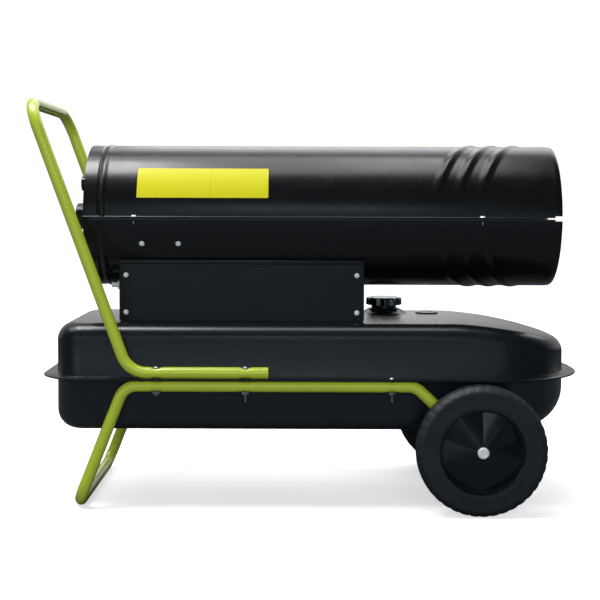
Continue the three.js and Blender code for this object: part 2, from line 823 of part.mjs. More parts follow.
function makeChamber() {
  const inner = chamberRadius - chamberSheet;
  const tube = ring(inner, chamberRadius, chamberRearX, chamberFrontX, 'x', barrelAxis, chamberSides);
  const legs = legXs.flatMap((x) => [-1, 1].map((side) => {
    const plate = block(
      [x - legLength / 2, -legWidth / 2, barrelZ - barrelRadius],
      [x + legLength / 2, legWidth / 2, barrelZ - chamberRadius + chamberSheet],
    );
    return aboutBarrel(plate, side * 45);
  }));
  const room = rod(barrelInner - seat, chamberRearX, chamberFrontX, 'x', barrelAxis, barrelSides);
  const holes = airHoleXs.flatMap((x) => Array.from({ length: airHoleCount }, (_, k) => {
    const drill = rod(airHoleRadius, barrelZ, barrelZ + chamberRadius + 5, 'z', [x, 0, 0], 6);
    return aboutBarrel(drill, 360 * (k + 0.5) / airHoleCount);
  }));
  addPart('combustion_chamber', cut(union([tube, ...legs]).intersect(room), holes), hotSteel);

  const coneX = chamberFrontX + coneLength;
  const sleeve = inner - seat;
  const sleeveX = chamberFrontX - sleeveLength;
  const t = chamberSheet;
  const cone = turned([
    [sleeve, sleeveX], [sleeve, chamberFrontX], [coneMouth, coneX], [coneMouth - t, coneX - t / 2],
    [sleeve - t, chamberFrontX - t / 2], [sleeve - t, sleeveX], [sleeve, sleeveX],
  ], 'x', barrelAxis, chamberSides);
  const target = rod(targetRadius, coneX - t, coneX, 'x', barrelAxis, chamberSides);
  const bars = [0, 1].map((k) => aboutBarrel(block(
    [coneX - 2 * t, -5, barrelZ - coneMouth - 1],
    [coneX - t / 2, 5, barrelZ + coneMouth + 1],
  ), 90 * k));
  addPart('outlet_baffle', union([cone, target, ...bars]), hotSteel);
}

// ---------------------------------------------------------------- burner head

function makeBurner() {
  const radius = chamberRadius - chamberSheet - seat;
  const t = headPlate;
  const hole = noseRadius + 1;
  const plate = turned([
    [hole, headX], [radius, headX], [radius, headX + headLip], [radius - t, headX + headLip],
    [radius - t, headX + t], [hole, headX + t], [hole, headX],
  ], 'x', barrelAxis, chamberSides);
  const slots = [];
  const vanes = [];
  for (let k = 0; k < swirlCount; k += 1) {
    const turn = 360 * (k + 0.5) / swirlCount;
    const slot = block(
      [headX - 1, -swirlSlot / 2, barrelZ + swirlInner],
      [headX + t + 1, swirlSlot / 2, barrelZ + swirlOuter],
    );
    const sheet = new THREE.BoxGeometry(9, t, swirlOuter - swirlInner);
    sheet.rotateZ(degrees(swirlTilt));
    sheet.translate(headX + t + 3.2, swirlSlot / 2 + 2.4, barrelZ + (swirlInner + swirlOuter) / 2);
    slots.push(aboutBarrel(slot, turn));
    vanes.push(aboutBarrel(solid(sheet), turn));
  }
  const plugHole = rod(plugRadius + seat, headX - 1, headX + t + 1, 'x', [0, -plugOffset, barrelZ], 12);
  const cellHole = rod(cellRadius - 2, headX - 1, headX + t + 1, 'x', [0, 0, barrelZ + cellOffset], 12);
  const head = cut(plate, slots).add(union(vanes));
  addPart('burner_head', cut(head, [plugHole, cellHole]), steel);

  const half = adapterSize / 2;
  const flangeX = headX - seat - nozzleFlangeHeight;
  const adapter = block(
    [adapterX - adapterLength / 2, -half, barrelZ - half],
    [adapterX + adapterLength / 2, half, barrelZ + half],
  );
  const nose = turned([
    [0, flangeX - 1], [nozzleFlange, flangeX - 1], [nozzleFlange, headX - seat],
    [noseRadius, headX - seat], [noseRadius, headX + noseLength - 3],
    [noseRadius - 4, headX + noseLength], [0, headX + noseLength],
  ], 'x', barrelAxis, 16);
  addPart('fuel_nozzle', adapter.add(nose), brass);

  const plugAt = [0, -plugOffset, barrelZ];
  const plug = turned([
    [0, headX - 26], [3, headX - 26], [3, headX - 20], [5, headX - 18], [5, headX - 6],
    [plugFlange, headX - 6], [plugFlange, headX - seat], [plugRadius, headX - seat],
    [plugRadius - 1, headX + 12], [1.5, headX + 12], [1.5, headX + 24], [0, headX + 24],
  ], 'x', plugAt, 10);
  addPart('spark_plug', plug, ceramic);

  const cell = turned([
    [0, headX - 18], [cellRadius - 2, headX - 18], [cellRadius, headX - 16], [cellRadius, headX - seat],
    [0, headX - seat],
  ], 'x', [0, 0, barrelZ + cellOffset], 12);
  addPart('photocell', cell, blackPlastic);
}

// ---------------------------------------------------------------- fan, motor and pump

// One fan blade: flat sections, pitched less and drawn out wider towards the tip.
function blade(turn) {
  const sections = 4;
  const root = fanHubRadius - 3;
  const middleX = fanFrontX - fanHubLength / 2;
  const rings = [];
  for (let k = 0; k < sections; k += 1) {
    const share = k / (sections - 1);
    const radius = root + (fanRadius - root) * share;
    const chord = bladeRootChord + (bladeTipChord - bladeRootChord) * share;
    const pitch = degrees(bladeRootPitch + (bladeTipPitch - bladeRootPitch) * share);
    const corners = [[-1, -1], [1, -1], [1, 1], [-1, 1]];
    rings.push(corners.map(([along, side]) => {
      const a = along * chord / 2;
      const b = side * bladeThickness / 2;
      const x = middleX + a * Math.sin(pitch) + b * Math.cos(pitch);
      const angle = degrees(turn) + (a * Math.cos(pitch) - b * Math.sin(pitch)) / radius;
      return point(x, radius * Math.sin(angle), barrelZ + radius * Math.cos(angle));
    }));
  }
  return lofted(rings);
}

function makeMotor() {
  const shaftRearX = pumpRearX + seat;
  const shaftFrontX = fanFrontX + 2;
  const bore = shaftRadius + running;
  addPart('motor_shaft', rod(shaftRadius, shaftRearX, shaftFrontX, 'x', barrelAxis, 16), steel);

  const hub = ring(bore, fanHubRadius, fanRearX, fanFrontX, 'x', barrelAxis, 16);
  const shaftSpace = rod(bore, fanRearX - 1, fanFrontX + 1, 'x', barrelAxis, 16);
  const blades = Array.from({ length: fanBlades }, (_, k) => blade(360 * k / fanBlades));
  addPart('fan', union([hub, ...blades]).subtract(shaftSpace), castAlloy);

  const step = motorRadius - 15;
  const motor = turned([
    [bore, motorRearX], [step, motorRearX], [motorRadius, motorRearX + motorBell],
    [motorRadius, motorFrontX - motorBell], [step, motorFrontX], [bore, motorFrontX], [bore, motorRearX],
  ], 'x', barrelAxis, 18);
  addPart('motor_housing', motor, castAlloy);

  const chamberX = pumpRearX + rotorLength + 2 * seat;
  const pump = turned([
    [bore, chamberX], [pumpChamber, chamberX], [pumpChamber, pumpRearX], [pumpRadius, pumpRearX],
    [pumpRadius, pumpFrontX], [bore, pumpFrontX], [bore, chamberX],
  ], 'x', barrelAxis, 18);
  addPart('pump_body', pump, castAlloy);

  const rotorX = pumpRearX + seat;
  const rotor = ring(bore, pumpChamber - 2 * running, rotorX, rotorX + rotorLength, 'x', barrelAxis, 18);
  const slots = Array.from({ length: vaneSlots }, (_, k) => aboutBarrel(block(
    [rotorX - 1, -vaneSlotWidth / 2, barrelZ + pumpChamber - vaneSlotDepth],
    [rotorX + rotorLength + 1, vaneSlotWidth / 2, barrelZ + pumpChamber],
  ), 360 * (k + 0.5) / vaneSlots));
  addPart('pump_rotor', cut(rotor, slots), steel);

  const coverFrontX = coverRearX + pumpCoverLength;
  const cover = turned([
    [0, coverRearX], [pumpCoverRadius - 6, coverRearX], [pumpCoverRadius, coverRearX + 6],
    [pumpCoverRadius, coverFrontX], [0, coverFrontX],
  ], 'x', barrelAxis, 20);
  const gaugeAt = [0, 0, barrelZ + pressureGaugeZ];
  const gaugeBoss = rod(pressureGaugeRadius + 2, coverRearX, coverFrontX, 'x', gaugeAt, 14);
  addPart('pump_cover', cover.add(gaugeBoss), castAlloy);

  const filterFrontX = coverRearX - seat;
  const filterRearX = filterFrontX - filterLength;
  const cup = turned([
    [0, filterRearX], [filterRadius - 3, filterRearX], [filterRadius, filterRearX + 3],
    [filterRadius, filterFrontX], [filterRadius - filterWall, filterFrontX],
    [filterRadius - filterWall, filterRearX + filterWall + 1], [0, filterRearX + filterWall + 1],
  ], 'x', barrelAxis, 18);
  addPart('filter_cover', cup, blackPlastic);

  const stemX = coverRearX - seat;
  const dialX = stemX - pressureGaugeStem;
  const r = pressureGaugeRadius;
  const dial = turned([
    [0, dialX - pressureGaugeLength + 1.2], [r - 2, dialX - pressureGaugeLength + 1.2],
    [r - 2, dialX - pressureGaugeLength], [r, dialX - pressureGaugeLength], [r, dialX],
    [4, dialX], [4, stemX], [0, stemX],
  ], 'x', gaugeAt, 14);
  addPart('pressure_gauge', dial, zinc);
}

// A shelf across the lower shell, its two ends bent up along the shell, which carries the motor.
function makeMotorShelf() {
  const topZ = -motorRadius - seat;
  const arcOuter = barrelFlat - seat;
  const arcInner = arcOuter - shelfSheet;
  const low = Math.asin((topZ - shelfSheet) / arcOuter);
  const high = low + degrees(shelfTab);
  const side = [];
  const steps = 3;
  for (let k = 0; k <= steps; k += 1) {
    const angle = low + (high - low) * k / steps;
    side.push([arcOuter * Math.cos(angle), arcOuter * Math.sin(angle)]);
  }
  const shelfAngle = Math.asin(topZ / arcInner);
  for (let k = steps; k >= 0; k -= 1) {
    const angle = shelfAngle + (high - shelfAngle) * k / steps;
    side.push([arcInner * Math.cos(angle), arcInner * Math.sin(angle)]);
  }
  const mirrored = side.map(([y, z]) => [-y, z]).reverse();
  const outline = [...side, ...mirrored].map(([y, z]) => [y, z + barrelZ]);
  const shelfX = (motorRearX + motorFrontX - shelfLength) / 2;
  addPart('motor_bracket', drawnAlongX(outline, shelfX, shelfX + shelfLength), steel);
}

function makeGuard() {
  const x0 = barrelRearX + guardFromEdge;
  const x1 = x0 + guardWire;
  const outer = barrelInner - seat;
  const sides = barrelSides / 2;
  const rim = ring(outer - guardRim, outer, x0, x1, 'x', barrelAxis, sides);
  const innerRing = ring(guardInner, guardInner + guardWire, x0, x1, 'x', barrelAxis, sides);
  const spoke = block(
    [x0 + 0.5, -guardWire / 2, barrelZ + guardInner + 1],
    [x1 - 0.5, guardWire / 2, barrelZ + outer - 1],
  );
  const spokes = Array.from({ length: guardSpokes }, (_, k) => (
    aboutBarrel(spoke, 360 * (k + 0.5) / guardSpokes)
  ));
  addPart('inlet_guard', union([rim, innerRing, ...spokes]), zinc);
}

// ---------------------------------------------------------------- control box

// A sheet-metal box open at both sides, its end walls hollowed to carry the barrel.
function makeControlBox() {
  const w = boxHalfWidth;
  const t = boxSheet;
  const outside = block([boxRearX, -w, boxBottomZ], [boxFrontX, w, boxTopZ]);
  const inside = block([boxRearX + t, -w + t, boxFloorZ], [boxFrontX - t, w - t, boxTopZ + 1]);
  const window = block(
    [boxRearX + boxReturn, -w - 1, boxFloorZ + boxLip],
    [boxFrontX - boxReturn, w + 1, boxTopZ + 1],
  );
  const saddleReach = 2 * coverSheet + seat;
  const saddleX = [boxRearX - saddleReach, boxFrontX + saddleReach];
  const saddle = rod(barrelRadius + seat, ...saddleX, 'x', barrelAxis, barrelSides);
  const fitting = rod(fittingHole, boxBottomZ - 1, boxFloorZ + 1, 'z', [pickupX, pickupY, 0], 16);
  const glandAt = [0, glandY, glandZ];
  const glandHole = rod(glandRadius + seat, boxRearX - 1, boxRearX + t + 1, 'x', glandAt, 12);
  addPart('control_box', cut(outside, [inside, window, saddle, fitting, glandHole]), blackPaint);

  // A flat cover whose two ends are bent in over the box's end walls.
  const coverPlate = (side) => {
    const [inY, outY] = [w + seat, coverFaceY];
    const wall = (x0, x1, y0, y1, topZ) => block(
      [x0, Math.min(side * y0, side * y1), coverBottomZ],
      [x1, Math.max(side * y0, side * y1), topZ],
    );
    const rearX = boxRearX - seat;
    const frontX = boxFrontX + seat;
    return union([
      wall(rearX - coverSheet, frontX + coverSheet, inY, outY, boxTopZ),
      wall(rearX - coverSheet, rearX, w - coverLip, outY, boxTopZ - lipDrop),
      wall(frontX, frontX + coverSheet, w - coverLip, outY, boxTopZ - lipDrop),
    ]);
  };
  addPart('side_cover_near', coverPlate(-1), blackPaint);
  const knobHole = rod(knobShaft + running, w - 5, w + 5, 'y', [knobX, 0, controlsZ], 12);
  const [openX, openZ] = switchOpening;
  const switchHole = block(
    [switchX - openX / 2 - 1.5 - seat, w - 5, controlsZ - openZ / 2 - 1.5 - seat],
    [switchX + openX / 2 + 1.5 + seat, w + 5, controlsZ + openZ / 2 + 1.5 + seat],
  );
  addPart('side_cover_far', cut(coverPlate(1), [knobHole, switchHole]), blackPaint);
}

function makeControls() {
  const faceY = coverFaceY + seat;
  const grip = 4;
  const knob = turned([
    [0, faceY - 12], [knobShaft, faceY - 12], [knobShaft, faceY], [knobRadius, faceY],
    [knobRadius - 1, faceY + knobHeight - 6], [knobRadius - 3, faceY + knobHeight - 5],
    [0, faceY + knobHeight - 5],
  ], 'y', [knobX, 0, controlsZ], 18);
  const bar = block(
    [knobX - grip / 2, faceY + knobHeight - 7, controlsZ - knobRadius + 2],
    [knobX + grip / 2, faceY + knobHeight, controlsZ + knobRadius - 2],
  );
  addPart('thermostat_knob', knob.add(bar), blackPlastic);

  const [openX, openZ] = switchOpening;
  const wall = 1.5;
  const frame = block(
    [switchX - openX / 2 - switchBezel, faceY, controlsZ - openZ / 2 - switchBezel],
    [switchX + openX / 2 + switchBezel, faceY + switchBezelHeight, controlsZ + openZ / 2 + switchBezel],
  );
  const housing = block(
    [switchX - openX / 2 - wall, faceY - switchDepth, controlsZ - openZ / 2 - wall],
    [switchX + openX / 2 + wall, faceY + 0.5, controlsZ + openZ / 2 + wall],
  );
  const opening = block(
    [switchX - openX / 2, faceY - switchDepth + wall, controlsZ - openZ / 2],
    [switchX + openX / 2, faceY + switchBezelHeight + 1, controlsZ + openZ / 2],
  );
  const pinRadius = 1.5;
  const pivotY = faceY - 4;
  const pinHole = rod(pinRadius + running, -openX, openX, 'x', [switchX, pivotY, controlsZ], 12);
  addPart('switch_bezel', cut(frame.add(housing), [opening, pinHole]), blackPlastic);

  const rockerHalf = openZ / 2 - 1.2;
  const shape = new THREE.Shape([
    new THREE.Vector2(-4, -rockerHalf + 1), new THREE.Vector2(4.6, -rockerHalf),
    new THREE.Vector2(2.6, 0), new THREE.Vector2(4.6, rockerHalf), new THREE.Vector2(-4, rockerHalf - 1),
  ]);
  const rockerWidth = openX - 2 * seat;
  const rocker = new THREE.ExtrudeGeometry(shape, { depth: rockerWidth, bevelEnabled: false });
  rocker.rotateX(Math.PI / 2);
  rocker.rotateZ(Math.PI / 2);
  rocker.rotateX(degrees(-rockerTilt));
  rocker.translate(switchX - rockerWidth / 2, pivotY, controlsZ);
  const pin = rod(pinRadius, -openX / 2 - wall, openX / 2 + wall, 'x', [switchX, pivotY, controlsZ], 12);
  addPart('power_switch', solid(rocker).add(pin), redPlastic);
}

function makeBoard() {
  const boardZ = boxFloorZ + seat + boardPost;
  const [halfX, halfY] = [boardLength / 2, boardWidth / 2];
  const plate = block(
    [boardX - halfX, -halfY, boardZ],
    [boardX + halfX, halfY, boardZ + boardThickness],
  );
  const posts = [-1, 1].flatMap((i) => [-1, 1].map((j) => (
    rod(3, boxFloorZ + seat, boardZ + 0.5, 'z', [boardX + i * (halfX - 6), j * (halfY - 6), 0], 6)
  )));
  const topZ = boardZ + boardThickness - 0.5;
  const onBoard = ([x, y], [length, width, height]) => block(
    [boardX + x - length / 2, y - width / 2, topZ],
    [boardX + x + length / 2, y + width / 2, topZ + height],
  );
  const blocks = [
    onBoard(relayAt, relaySize), onBoard(supplyAt, supplySize), onBoard(terminalsAt, terminalsSize),
  ];
  const [radius, height] = capacitorSize;
  const canAt = [boardX + capacitorAt[0], capacitorAt[1], 0];
  const capacitor = rod(radius, topZ, topZ + height, 'z', canAt, 10);
  addPart('circuit_board', union([plate, ...posts, ...blocks, capacitor]), board);
}

function makeTransformer() {
  const [length, width, height] = transformerSize;
  const footZ = boxFloorZ + seat;
  const foot = block(
    [transformerX - length / 2 - 9, -width / 2, footZ],
    [transformerX + length / 2 + 9, width / 2, footZ + 2],
  );
  const core = block(
    [transformerX - length / 2, -width / 2, footZ + 1],
    [transformerX + length / 2, width / 2, footZ + height - 6],
  );
  const terminals = [-1, 1].map((side) => (
    rod(5, footZ + height - 8, footZ + height, 'z', [transformerX + side * length / 4, 0, 0], 12)
  ));
  addPart('ignition_transformer', union([foot, core, ...terminals]), blackPlastic);
}

function makeGland() {
  const at = [0, glandY, glandZ];
  const wallX = boxRearX - coverSheet - 2 * seat;
  const mouthX = boxRearX - glandReach;
  const gland = turned([
    [0, boxRearX + boxSheet + 6], [glandRadius, boxRearX + boxSheet + 6],
    [glandRadius, boxRearX - seat], [glandNut, boxRearX - seat], [glandNut, wallX - glandNutLength],
    [glandRadius, wallX - glandNutLength - 1], [glandRadius, mouthX], [glandRadius - 1.6, mouthX],
    [glandRadius - 1.6, mouthX + 10], [0, mouthX + 10],
  ], 'x', at, 8);
  addPart('cord_gland', gland, zinc);
}

// ---------------------------------------------------------------- fuel and air lines

function makeLines() {
  const nutTopZ = tankTopZ + seat + pickupNutHeight;
  const tubeFootZ = tankBottomZ + tankSheet + pickupClearance;
  const at = [pickupX, pickupY, 0];
  const tube = rod(pickupRadius, tubeFootZ, nutTopZ, 'z', at, 12);
  const nut = rod(pickupNut, tankTopZ + seat, nutTopZ, 'z', at, 6);
  const strainer = rod(pickupRadius + 4, tubeFootZ - 6, tubeFootZ + 14, 'z', at, 12);
  addPart('fuel_pickup', union([tube, nut, strainer]), brass);

  const half = adapterSize / 2;
  const fuelPath = new BentLine([
    point(pickupX, pickupY, nutTopZ + seat),
    point(pickupX, pickupY, barrelZ),
    point(adapterX, half + seat, barrelZ),
  ], [lineBend]);
  addPart('fuel_line', solid(sweptGeometry(fuelPath, lineRadius, 6)), rubber);

  const startX = (pumpRearX + pumpFrontX) / 2;
  const lowZ = barrelZ - airLineOffset;
  const airPath = new BentLine([
    point(startX, 0, barrelZ - pumpRadius - seat),
    point(startX, 0, lowZ),
    point(adapterX, 0, lowZ),
    point(adapterX, 0, barrelZ - half - seat),
  ], [lineBend, lineBend]);
  addPart('air_line', solid(sweptGeometry(airPath, lineRadius, 6)), brass);
}

// ---------------------------------------------------------------- frame, handle and bolts

function makeTubes() {
  const handleLine = new BentLine([
    point(handleFrontX, -tubeY, handleZ),
    point(handleRearX, -tubeY, handleZ),
    point(gripX, -tubeY, gripZ),
    point(gripX, tubeY, gripZ),
    point(handleRearX, tubeY, handleZ),
    point(handleFrontX, tubeY, handleZ),
  ], [handleBend, gripBend, gripBend, handleBend]);
  const handle = sweptGeometry(handleLine, tubeRadius, tubeSides);
  const onHandle = boltPlaces.filter(([x]) => x < handleFrontX);
  const handleHoles = boltHoles(handleZ - tubeDiameter, handleZ + tubeDiameter, onHandle);
  const bores = [-tubeY, tubeY].map((y) => (
    rod(tubeRadius - tubeWall, handleFrontX - tubeBoreDepth, handleFrontX + 1, 'x', [0, y, handleZ], 12)
  ));
  addPart('handle', cut(solid(handle), [...handleHoles, ...bores]), greenPaint);

  const footZ = tubeRadius;
  const legDown = point(axleX - frameFrontX, 0, axleZ - frameZ).setLength(axleLegOverrun);
  const frameLine = new BentLine([
    point(axleX, -tubeY, axleZ).add(legDown),
    point(frameFrontX, -tubeY, frameZ),
    point(frameRearX, -tubeY, frameZ),
    point(footX, -tubeY, footZ),
    point(footX, tubeY, footZ),
    point(frameRearX, tubeY, frameZ),
    point(frameFrontX, tubeY, frameZ),
    point(axleX, tubeY, axleZ).add(legDown),
  ], [legBend, legBend, footBend, footBend, legBend, legBend]);
  const frame = sweptGeometry(frameLine, tubeRadius, tubeSides);
  const axleHole = rod(axleRadius + seat, -2 * tubeY, 2 * tubeY, 'y', [axleX, 0, axleZ], 16);
  const frameHoles = boltHoles(frameZ - tubeDiameter, frameZ + tubeDiameter);
  addPart('base_frame', cut(solid(frame), [axleHole, ...frameHoles]), greenPaint);
}

function makeBolts() {
  boltXs.forEach((x, k) => {
    const onHandle = x < handleFrontX;
    const headZ = onHandle
      ? handleZ + tubeFlat + seat
      : upperFlangeZ + tankSheet + seat;
    const nutTopZ = frameZ - tubeFlat - seat;
    const tailZ = nutTopZ - nutHeight - boltTails[k];
    for (const [word, side] of [['near', -1], ['far', 1]]) {
      const at = [x, side * tubeY, 0];
      const r = boltDiameter / 2;
      const head = boltHeadDiameter / 2;
      const bolt = turned([
        [0, tailZ], [r, tailZ], [r, headZ], [head, headZ], [head - 1, headZ + boltHeadHeight * 0.6],
        [head / 2, headZ + boltHeadHeight], [0, headZ + boltHeadHeight],
      ], 'z', at, boltSides);
      addPart(`frame_bolt_${word}_${k + 1}`, bolt, zinc);
      const nutCorner = nutWidth / 2 / Math.cos(Math.PI / 6);
      const nutBlank = rod(nutCorner, nutTopZ - nutHeight, nutTopZ, 'z', at, 6);
      const thread = rod(r + running, nutTopZ - nutHeight - 1, nutTopZ + 1, 'z', at, boltSides);
      addPart(`frame_nut_${word}_${k + 1}`, nutBlank.subtract(thread), zinc);
    }
  });
}

// ---------------------------------------------------------------- wheels

// A wheel's section at each angle. The disc between the hub and the ring is folded into pleats,
// so its place across the wheel swings from ridge to valley and back for each pair.
function rimSection(fold) {
  const half = wheelWidth / 2;
  const face = half - rimRecess;
  const ringInner = rimOuter - rimStep;
  const hub = hubDiameter / 2;
  const bore = axleRadius + running;
  const lip = half - 2;
  return [
    [bore, half], [hub, half], [ringInner, face - pleatDepth * fold],
    [rimOuter - rimWall, face], [rimOuter, lip], [rimOuter, -lip], [rimOuter - rimWall, -lip],
    [rimOuter - rimWall, face - discThickness - pleatDepth],
    [ringInner, face - discThickness - pleatDepth * fold], [hub, half - 2 * discThickness],
    [hub, -half], [bore, -half],
  ];
}

function pleatedRim(y, side) {
  const perFacet = 3;
  const count = 2 * pleatPairs * perFacet;
  const points = [];
  let around = 0;
  for (let k = 0; k < count; k += 1) {
    const phase = k % (2 * perFacet);
    const fold = Math.abs(phase / perFacet - 1);
    const angle = -Math.PI / 2 + 2 * Math.PI * k / count;
    const section = rimSection(1 - fold);
    around = section.length;
    for (const [radius, across] of section) {
      const [x, z] = [radius * Math.cos(angle), radius * Math.sin(angle)];
      points.push(point(axleX + x, y + side * across, axleZ + z));
    }
  }
  const faces = [];
  for (let k = 0; k < count; k += 1) {
    for (let i = 0; i < around; i += 1) {
      const [a, b] = [k * around + i, k * around + (i + 1) % around];
      const [c, d] = [((k + 1) % count) * around + i, ((k + 1) % count) * around + (i + 1) % around];
      faces.push(a, b, d, a, d, c);
    }
  }
  const geometry = new THREE.BufferGeometry().setFromPoints(points);
  geometry.setIndex(faces);
  return solid(geometry);
}

function makeWheels() {
  const half = wheelWidth / 2;
  const tyreInner = wheelRadius - tyreDepth;
  const sides = 30;
  const axleEnd = wheelY + half + seat + axleCapHeight - 1.5;
  addPart('axle', rod(axleRadius, -axleEnd, axleEnd, 'y', [axleX, 0, axleZ], 16), zinc);
  for (const [word, side] of [['near', -1], ['far', 1]]) {
    const y = side * wheelY;
    addPart(`wheel_rim_${word}`, pleatedRim(y, side), blackPlastic);
    const tyre = turned([
      [tyreInner, -half], [wheelRadius - treadShoulder, -half],
      [wheelRadius - treadShoulder / 3, 3 - half], [wheelRadius, treadShoulder - half],
      [wheelRadius, half - treadShoulder], [wheelRadius - treadShoulder / 3, half - 3],
      [wheelRadius - treadShoulder, half], [tyreInner, half], [tyreInner, -half],
    ], 'y', [axleX, y, axleZ], sides);
    addPart(`tyre_${word}`, tyre, rubber);
    const capFrom = half + seat;
    const capRadiusOut = axleCapDiameter / 2;
    const capInner = axleRadius + running;
    const capProfile = [
      [capInner, capFrom], [capRadiusOut, capFrom], [capRadiusOut - 1, capFrom + axleCapHeight - 1],
      [capRadiusOut - 3, capFrom + axleCapHeight], [0, capFrom + axleCapHeight],
      [0, capFrom + axleCapHeight - 1], [capInner, capFrom + axleCapHeight - 1], [capInner, capFrom],
    ].map(([radius, height]) => [radius, side * height]);
    addPart(`axle_cap_${word}`, turned(capProfile, 'y', [axleX, y, axleZ], 12), zinc);
  }
}

// ---------------------------------------------------------------- assembly

makeTank();
makeFiller();
makeGauge();
makeBarrel();
makeChamber();
makeBurner();
makeMotor();
makeMotorShelf();
makeGuard();
makeControlBox();
makeControls();
makeBoard();
makeTransformer();
makeGland();
makeLines();
makeTubes();
makeBolts();
makeWheels();

export default group;
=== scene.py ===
# %% [markdown]
# # Forced air heater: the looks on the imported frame
# A black sheet-metal barrel on a control box, on a pressed fuel tank, with lime green tubes and two
# wheels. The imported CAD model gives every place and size. This script adds the finished surfaces: smooth
# pressings, bent tubes, tyres, screws, blank labels, and one procedural material for each real finish.
# Shapes below are written in millimetres, the unit of the CAD source, and are scaled when an object is
# made.

# %% The frame, and the tools used
import math

import bmesh
import bpy
import numpy as np
from mathutils import Matrix, Vector


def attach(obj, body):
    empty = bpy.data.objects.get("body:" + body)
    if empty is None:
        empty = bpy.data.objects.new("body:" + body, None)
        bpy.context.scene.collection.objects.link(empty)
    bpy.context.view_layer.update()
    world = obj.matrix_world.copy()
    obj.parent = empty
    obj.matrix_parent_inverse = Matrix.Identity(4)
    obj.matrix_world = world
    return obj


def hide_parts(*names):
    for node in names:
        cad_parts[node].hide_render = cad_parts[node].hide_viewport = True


MM = 0.001
MIDDLE = 5.55    # the CAD source lays its pieces out from a point this far behind the origin
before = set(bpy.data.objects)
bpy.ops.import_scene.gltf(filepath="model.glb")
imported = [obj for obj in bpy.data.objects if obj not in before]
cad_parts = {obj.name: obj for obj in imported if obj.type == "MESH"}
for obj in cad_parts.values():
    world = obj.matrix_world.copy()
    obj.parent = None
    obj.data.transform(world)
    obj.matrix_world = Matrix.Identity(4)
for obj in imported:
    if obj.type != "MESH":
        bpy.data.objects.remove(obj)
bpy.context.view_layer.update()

# %% [markdown]
# ## Finishes
# The heater is powder-coated sheet metal with zinc-plated screws, moulded wheels and rubber tyres.
# Pictures could carry such finishes, but noise made by the shader stays sharp at any distance and has no
# seams. So each finish is one Principled shader. Fine noise gives the grain as a bump, and two kinds of
# broader noise change the roughness and the colour a little, as handling and light dust do.

# %% Noise and mixing
def noise_node(tree, scale, detail=3.0, stretch=(1, 1, 1), roughness=0.5):
    """Noise in the object's own frame, in features per metre, which may be stretched along an axis."""
    place = tree.nodes.new("ShaderNodeTexCoord")
    mapping = tree.nodes.new("ShaderNodeMapping")
    mapping.inputs["Scale"].default_value = stretch
    noise = tree.nodes.new("ShaderNodeTexNoise")
    noise.inputs["Scale"].default_value = scale
    noise.inputs["Detail"].default_value = detail
    noise.inputs["Roughness"].default_value = roughness
    tree.links.new(place.outputs["Object"], mapping.inputs["Vector"])
    tree.links.new(mapping.outputs["Vector"], noise.inputs["Vector"])
    return noise.outputs["Fac"]


def spread(tree, value, low, high, from_low=0.3, from_high=0.7):
    """A value, such as noise, brought to the range from low to high."""
    node = tree.nodes.new("ShaderNodeMapRange")
    node.inputs["From Min"].default_value = from_low
    node.inputs["From Max"].default_value = from_high
    node.inputs["To Min"].default_value = low
    node.inputs["To Max"].default_value = high
    tree.links.new(value, node.inputs["Value"])
    return node.outputs["Result"]


def mixed(tree, share, first, second):
    """Two colours mixed by a value. Either may be a colour or another node's output."""
    node = tree.nodes.new("ShaderNodeMix")
    node.data_type = "RGBA"
    tree.links.new(share, node.inputs["Factor"])
    for socket, colour in (("A", first), ("B", second)):
        target = [i for i in node.inputs if i.name == socket and i.type == "RGBA"][0]
        if isinstance(colour, tuple):
            target.default_value = colour
        else:
            tree.links.new(colour, target)
    return [o for o in node.outputs if o.type == "RGBA"][0]


# %% A finish
def finish(name, colour, roughness, metallic=0.0, grain=900, bump=0.03, shade=0.82, uneven=0.06,
           patch=9, stretch=(1, 1, 1), coat=0.0, specular=0.5, tint=None):
    """A material: base colour, roughness about a mean, and grain with a bump of that height in mm."""
    material = bpy.data.materials.new(name)
    material.use_nodes = True
    tree = material.node_tree
    shader = tree.nodes["Principled BSDF"]
    shader.inputs["Metallic"].default_value = metallic
    shader.inputs["Coat Weight"].default_value = coat
    shader.inputs["Specular IOR Level"].default_value = specular
    second = tint or tuple(c * shade for c in colour[:3]) + (1,)
    broad = noise_node(tree, patch, 4, roughness=0.6)
    shaded = mixed(tree, spread(tree, broad, 0, 1, 0.35, 0.65), colour, second)
    tree.links.new(shaded, shader.inputs["Base Color"])
    fine = noise_node(tree, grain, 2, stretch)
    smudge = noise_node(tree, patch * 4, 2, roughness=0.5)
    tree.links.new(spread(tree, smudge, roughness - uneven, roughness + uneven), shader.inputs["Roughness"])
    lift = tree.nodes.new("ShaderNodeBump")
    lift.inputs["Strength"].default_value = 1.0
    lift.inputs["Distance"].default_value = bump * MM
    tree.links.new(fine, lift.inputs["Height"])
    tree.links.new(lift.outputs["Normal"], shader.inputs["Normal"])
    return material


# %% Paint, plastic and rubber
BLACK = finish("powder_black", (0.0032, 0.0035, 0.0040, 1), 0.25, bump=0.02, grain=700, uneven=0.03)
COVER = finish("powder_black_cover", (0.0042, 0.0055, 0.0066, 1), 0.34, bump=0.025, grain=700, uneven=0.04)
TANK = finish("powder_black_tank", (0.0065, 0.0090, 0.0115, 1), 0.27, bump=0.004, grain=600, uneven=0.015)
GREEN = finish("powder_green", (0.42, 0.52, 0.035, 1), 0.24, bump=0.015, grain=600, shade=0.94, coat=0.5,
               uneven=0.04)
PLASTIC = finish("moulded_black", (0.0036, 0.0050, 0.0060, 1), 0.19, bump=0.015, grain=1400, uneven=0.04)
RUBBER = finish("tyre_rubber", (0.0105, 0.014, 0.017, 1), 0.58, bump=0.05, grain=1100, uneven=0.1)
SOFT = finish("soft_rubber", (0.012, 0.012, 0.013, 1), 0.6, bump=0.03, grain=900)
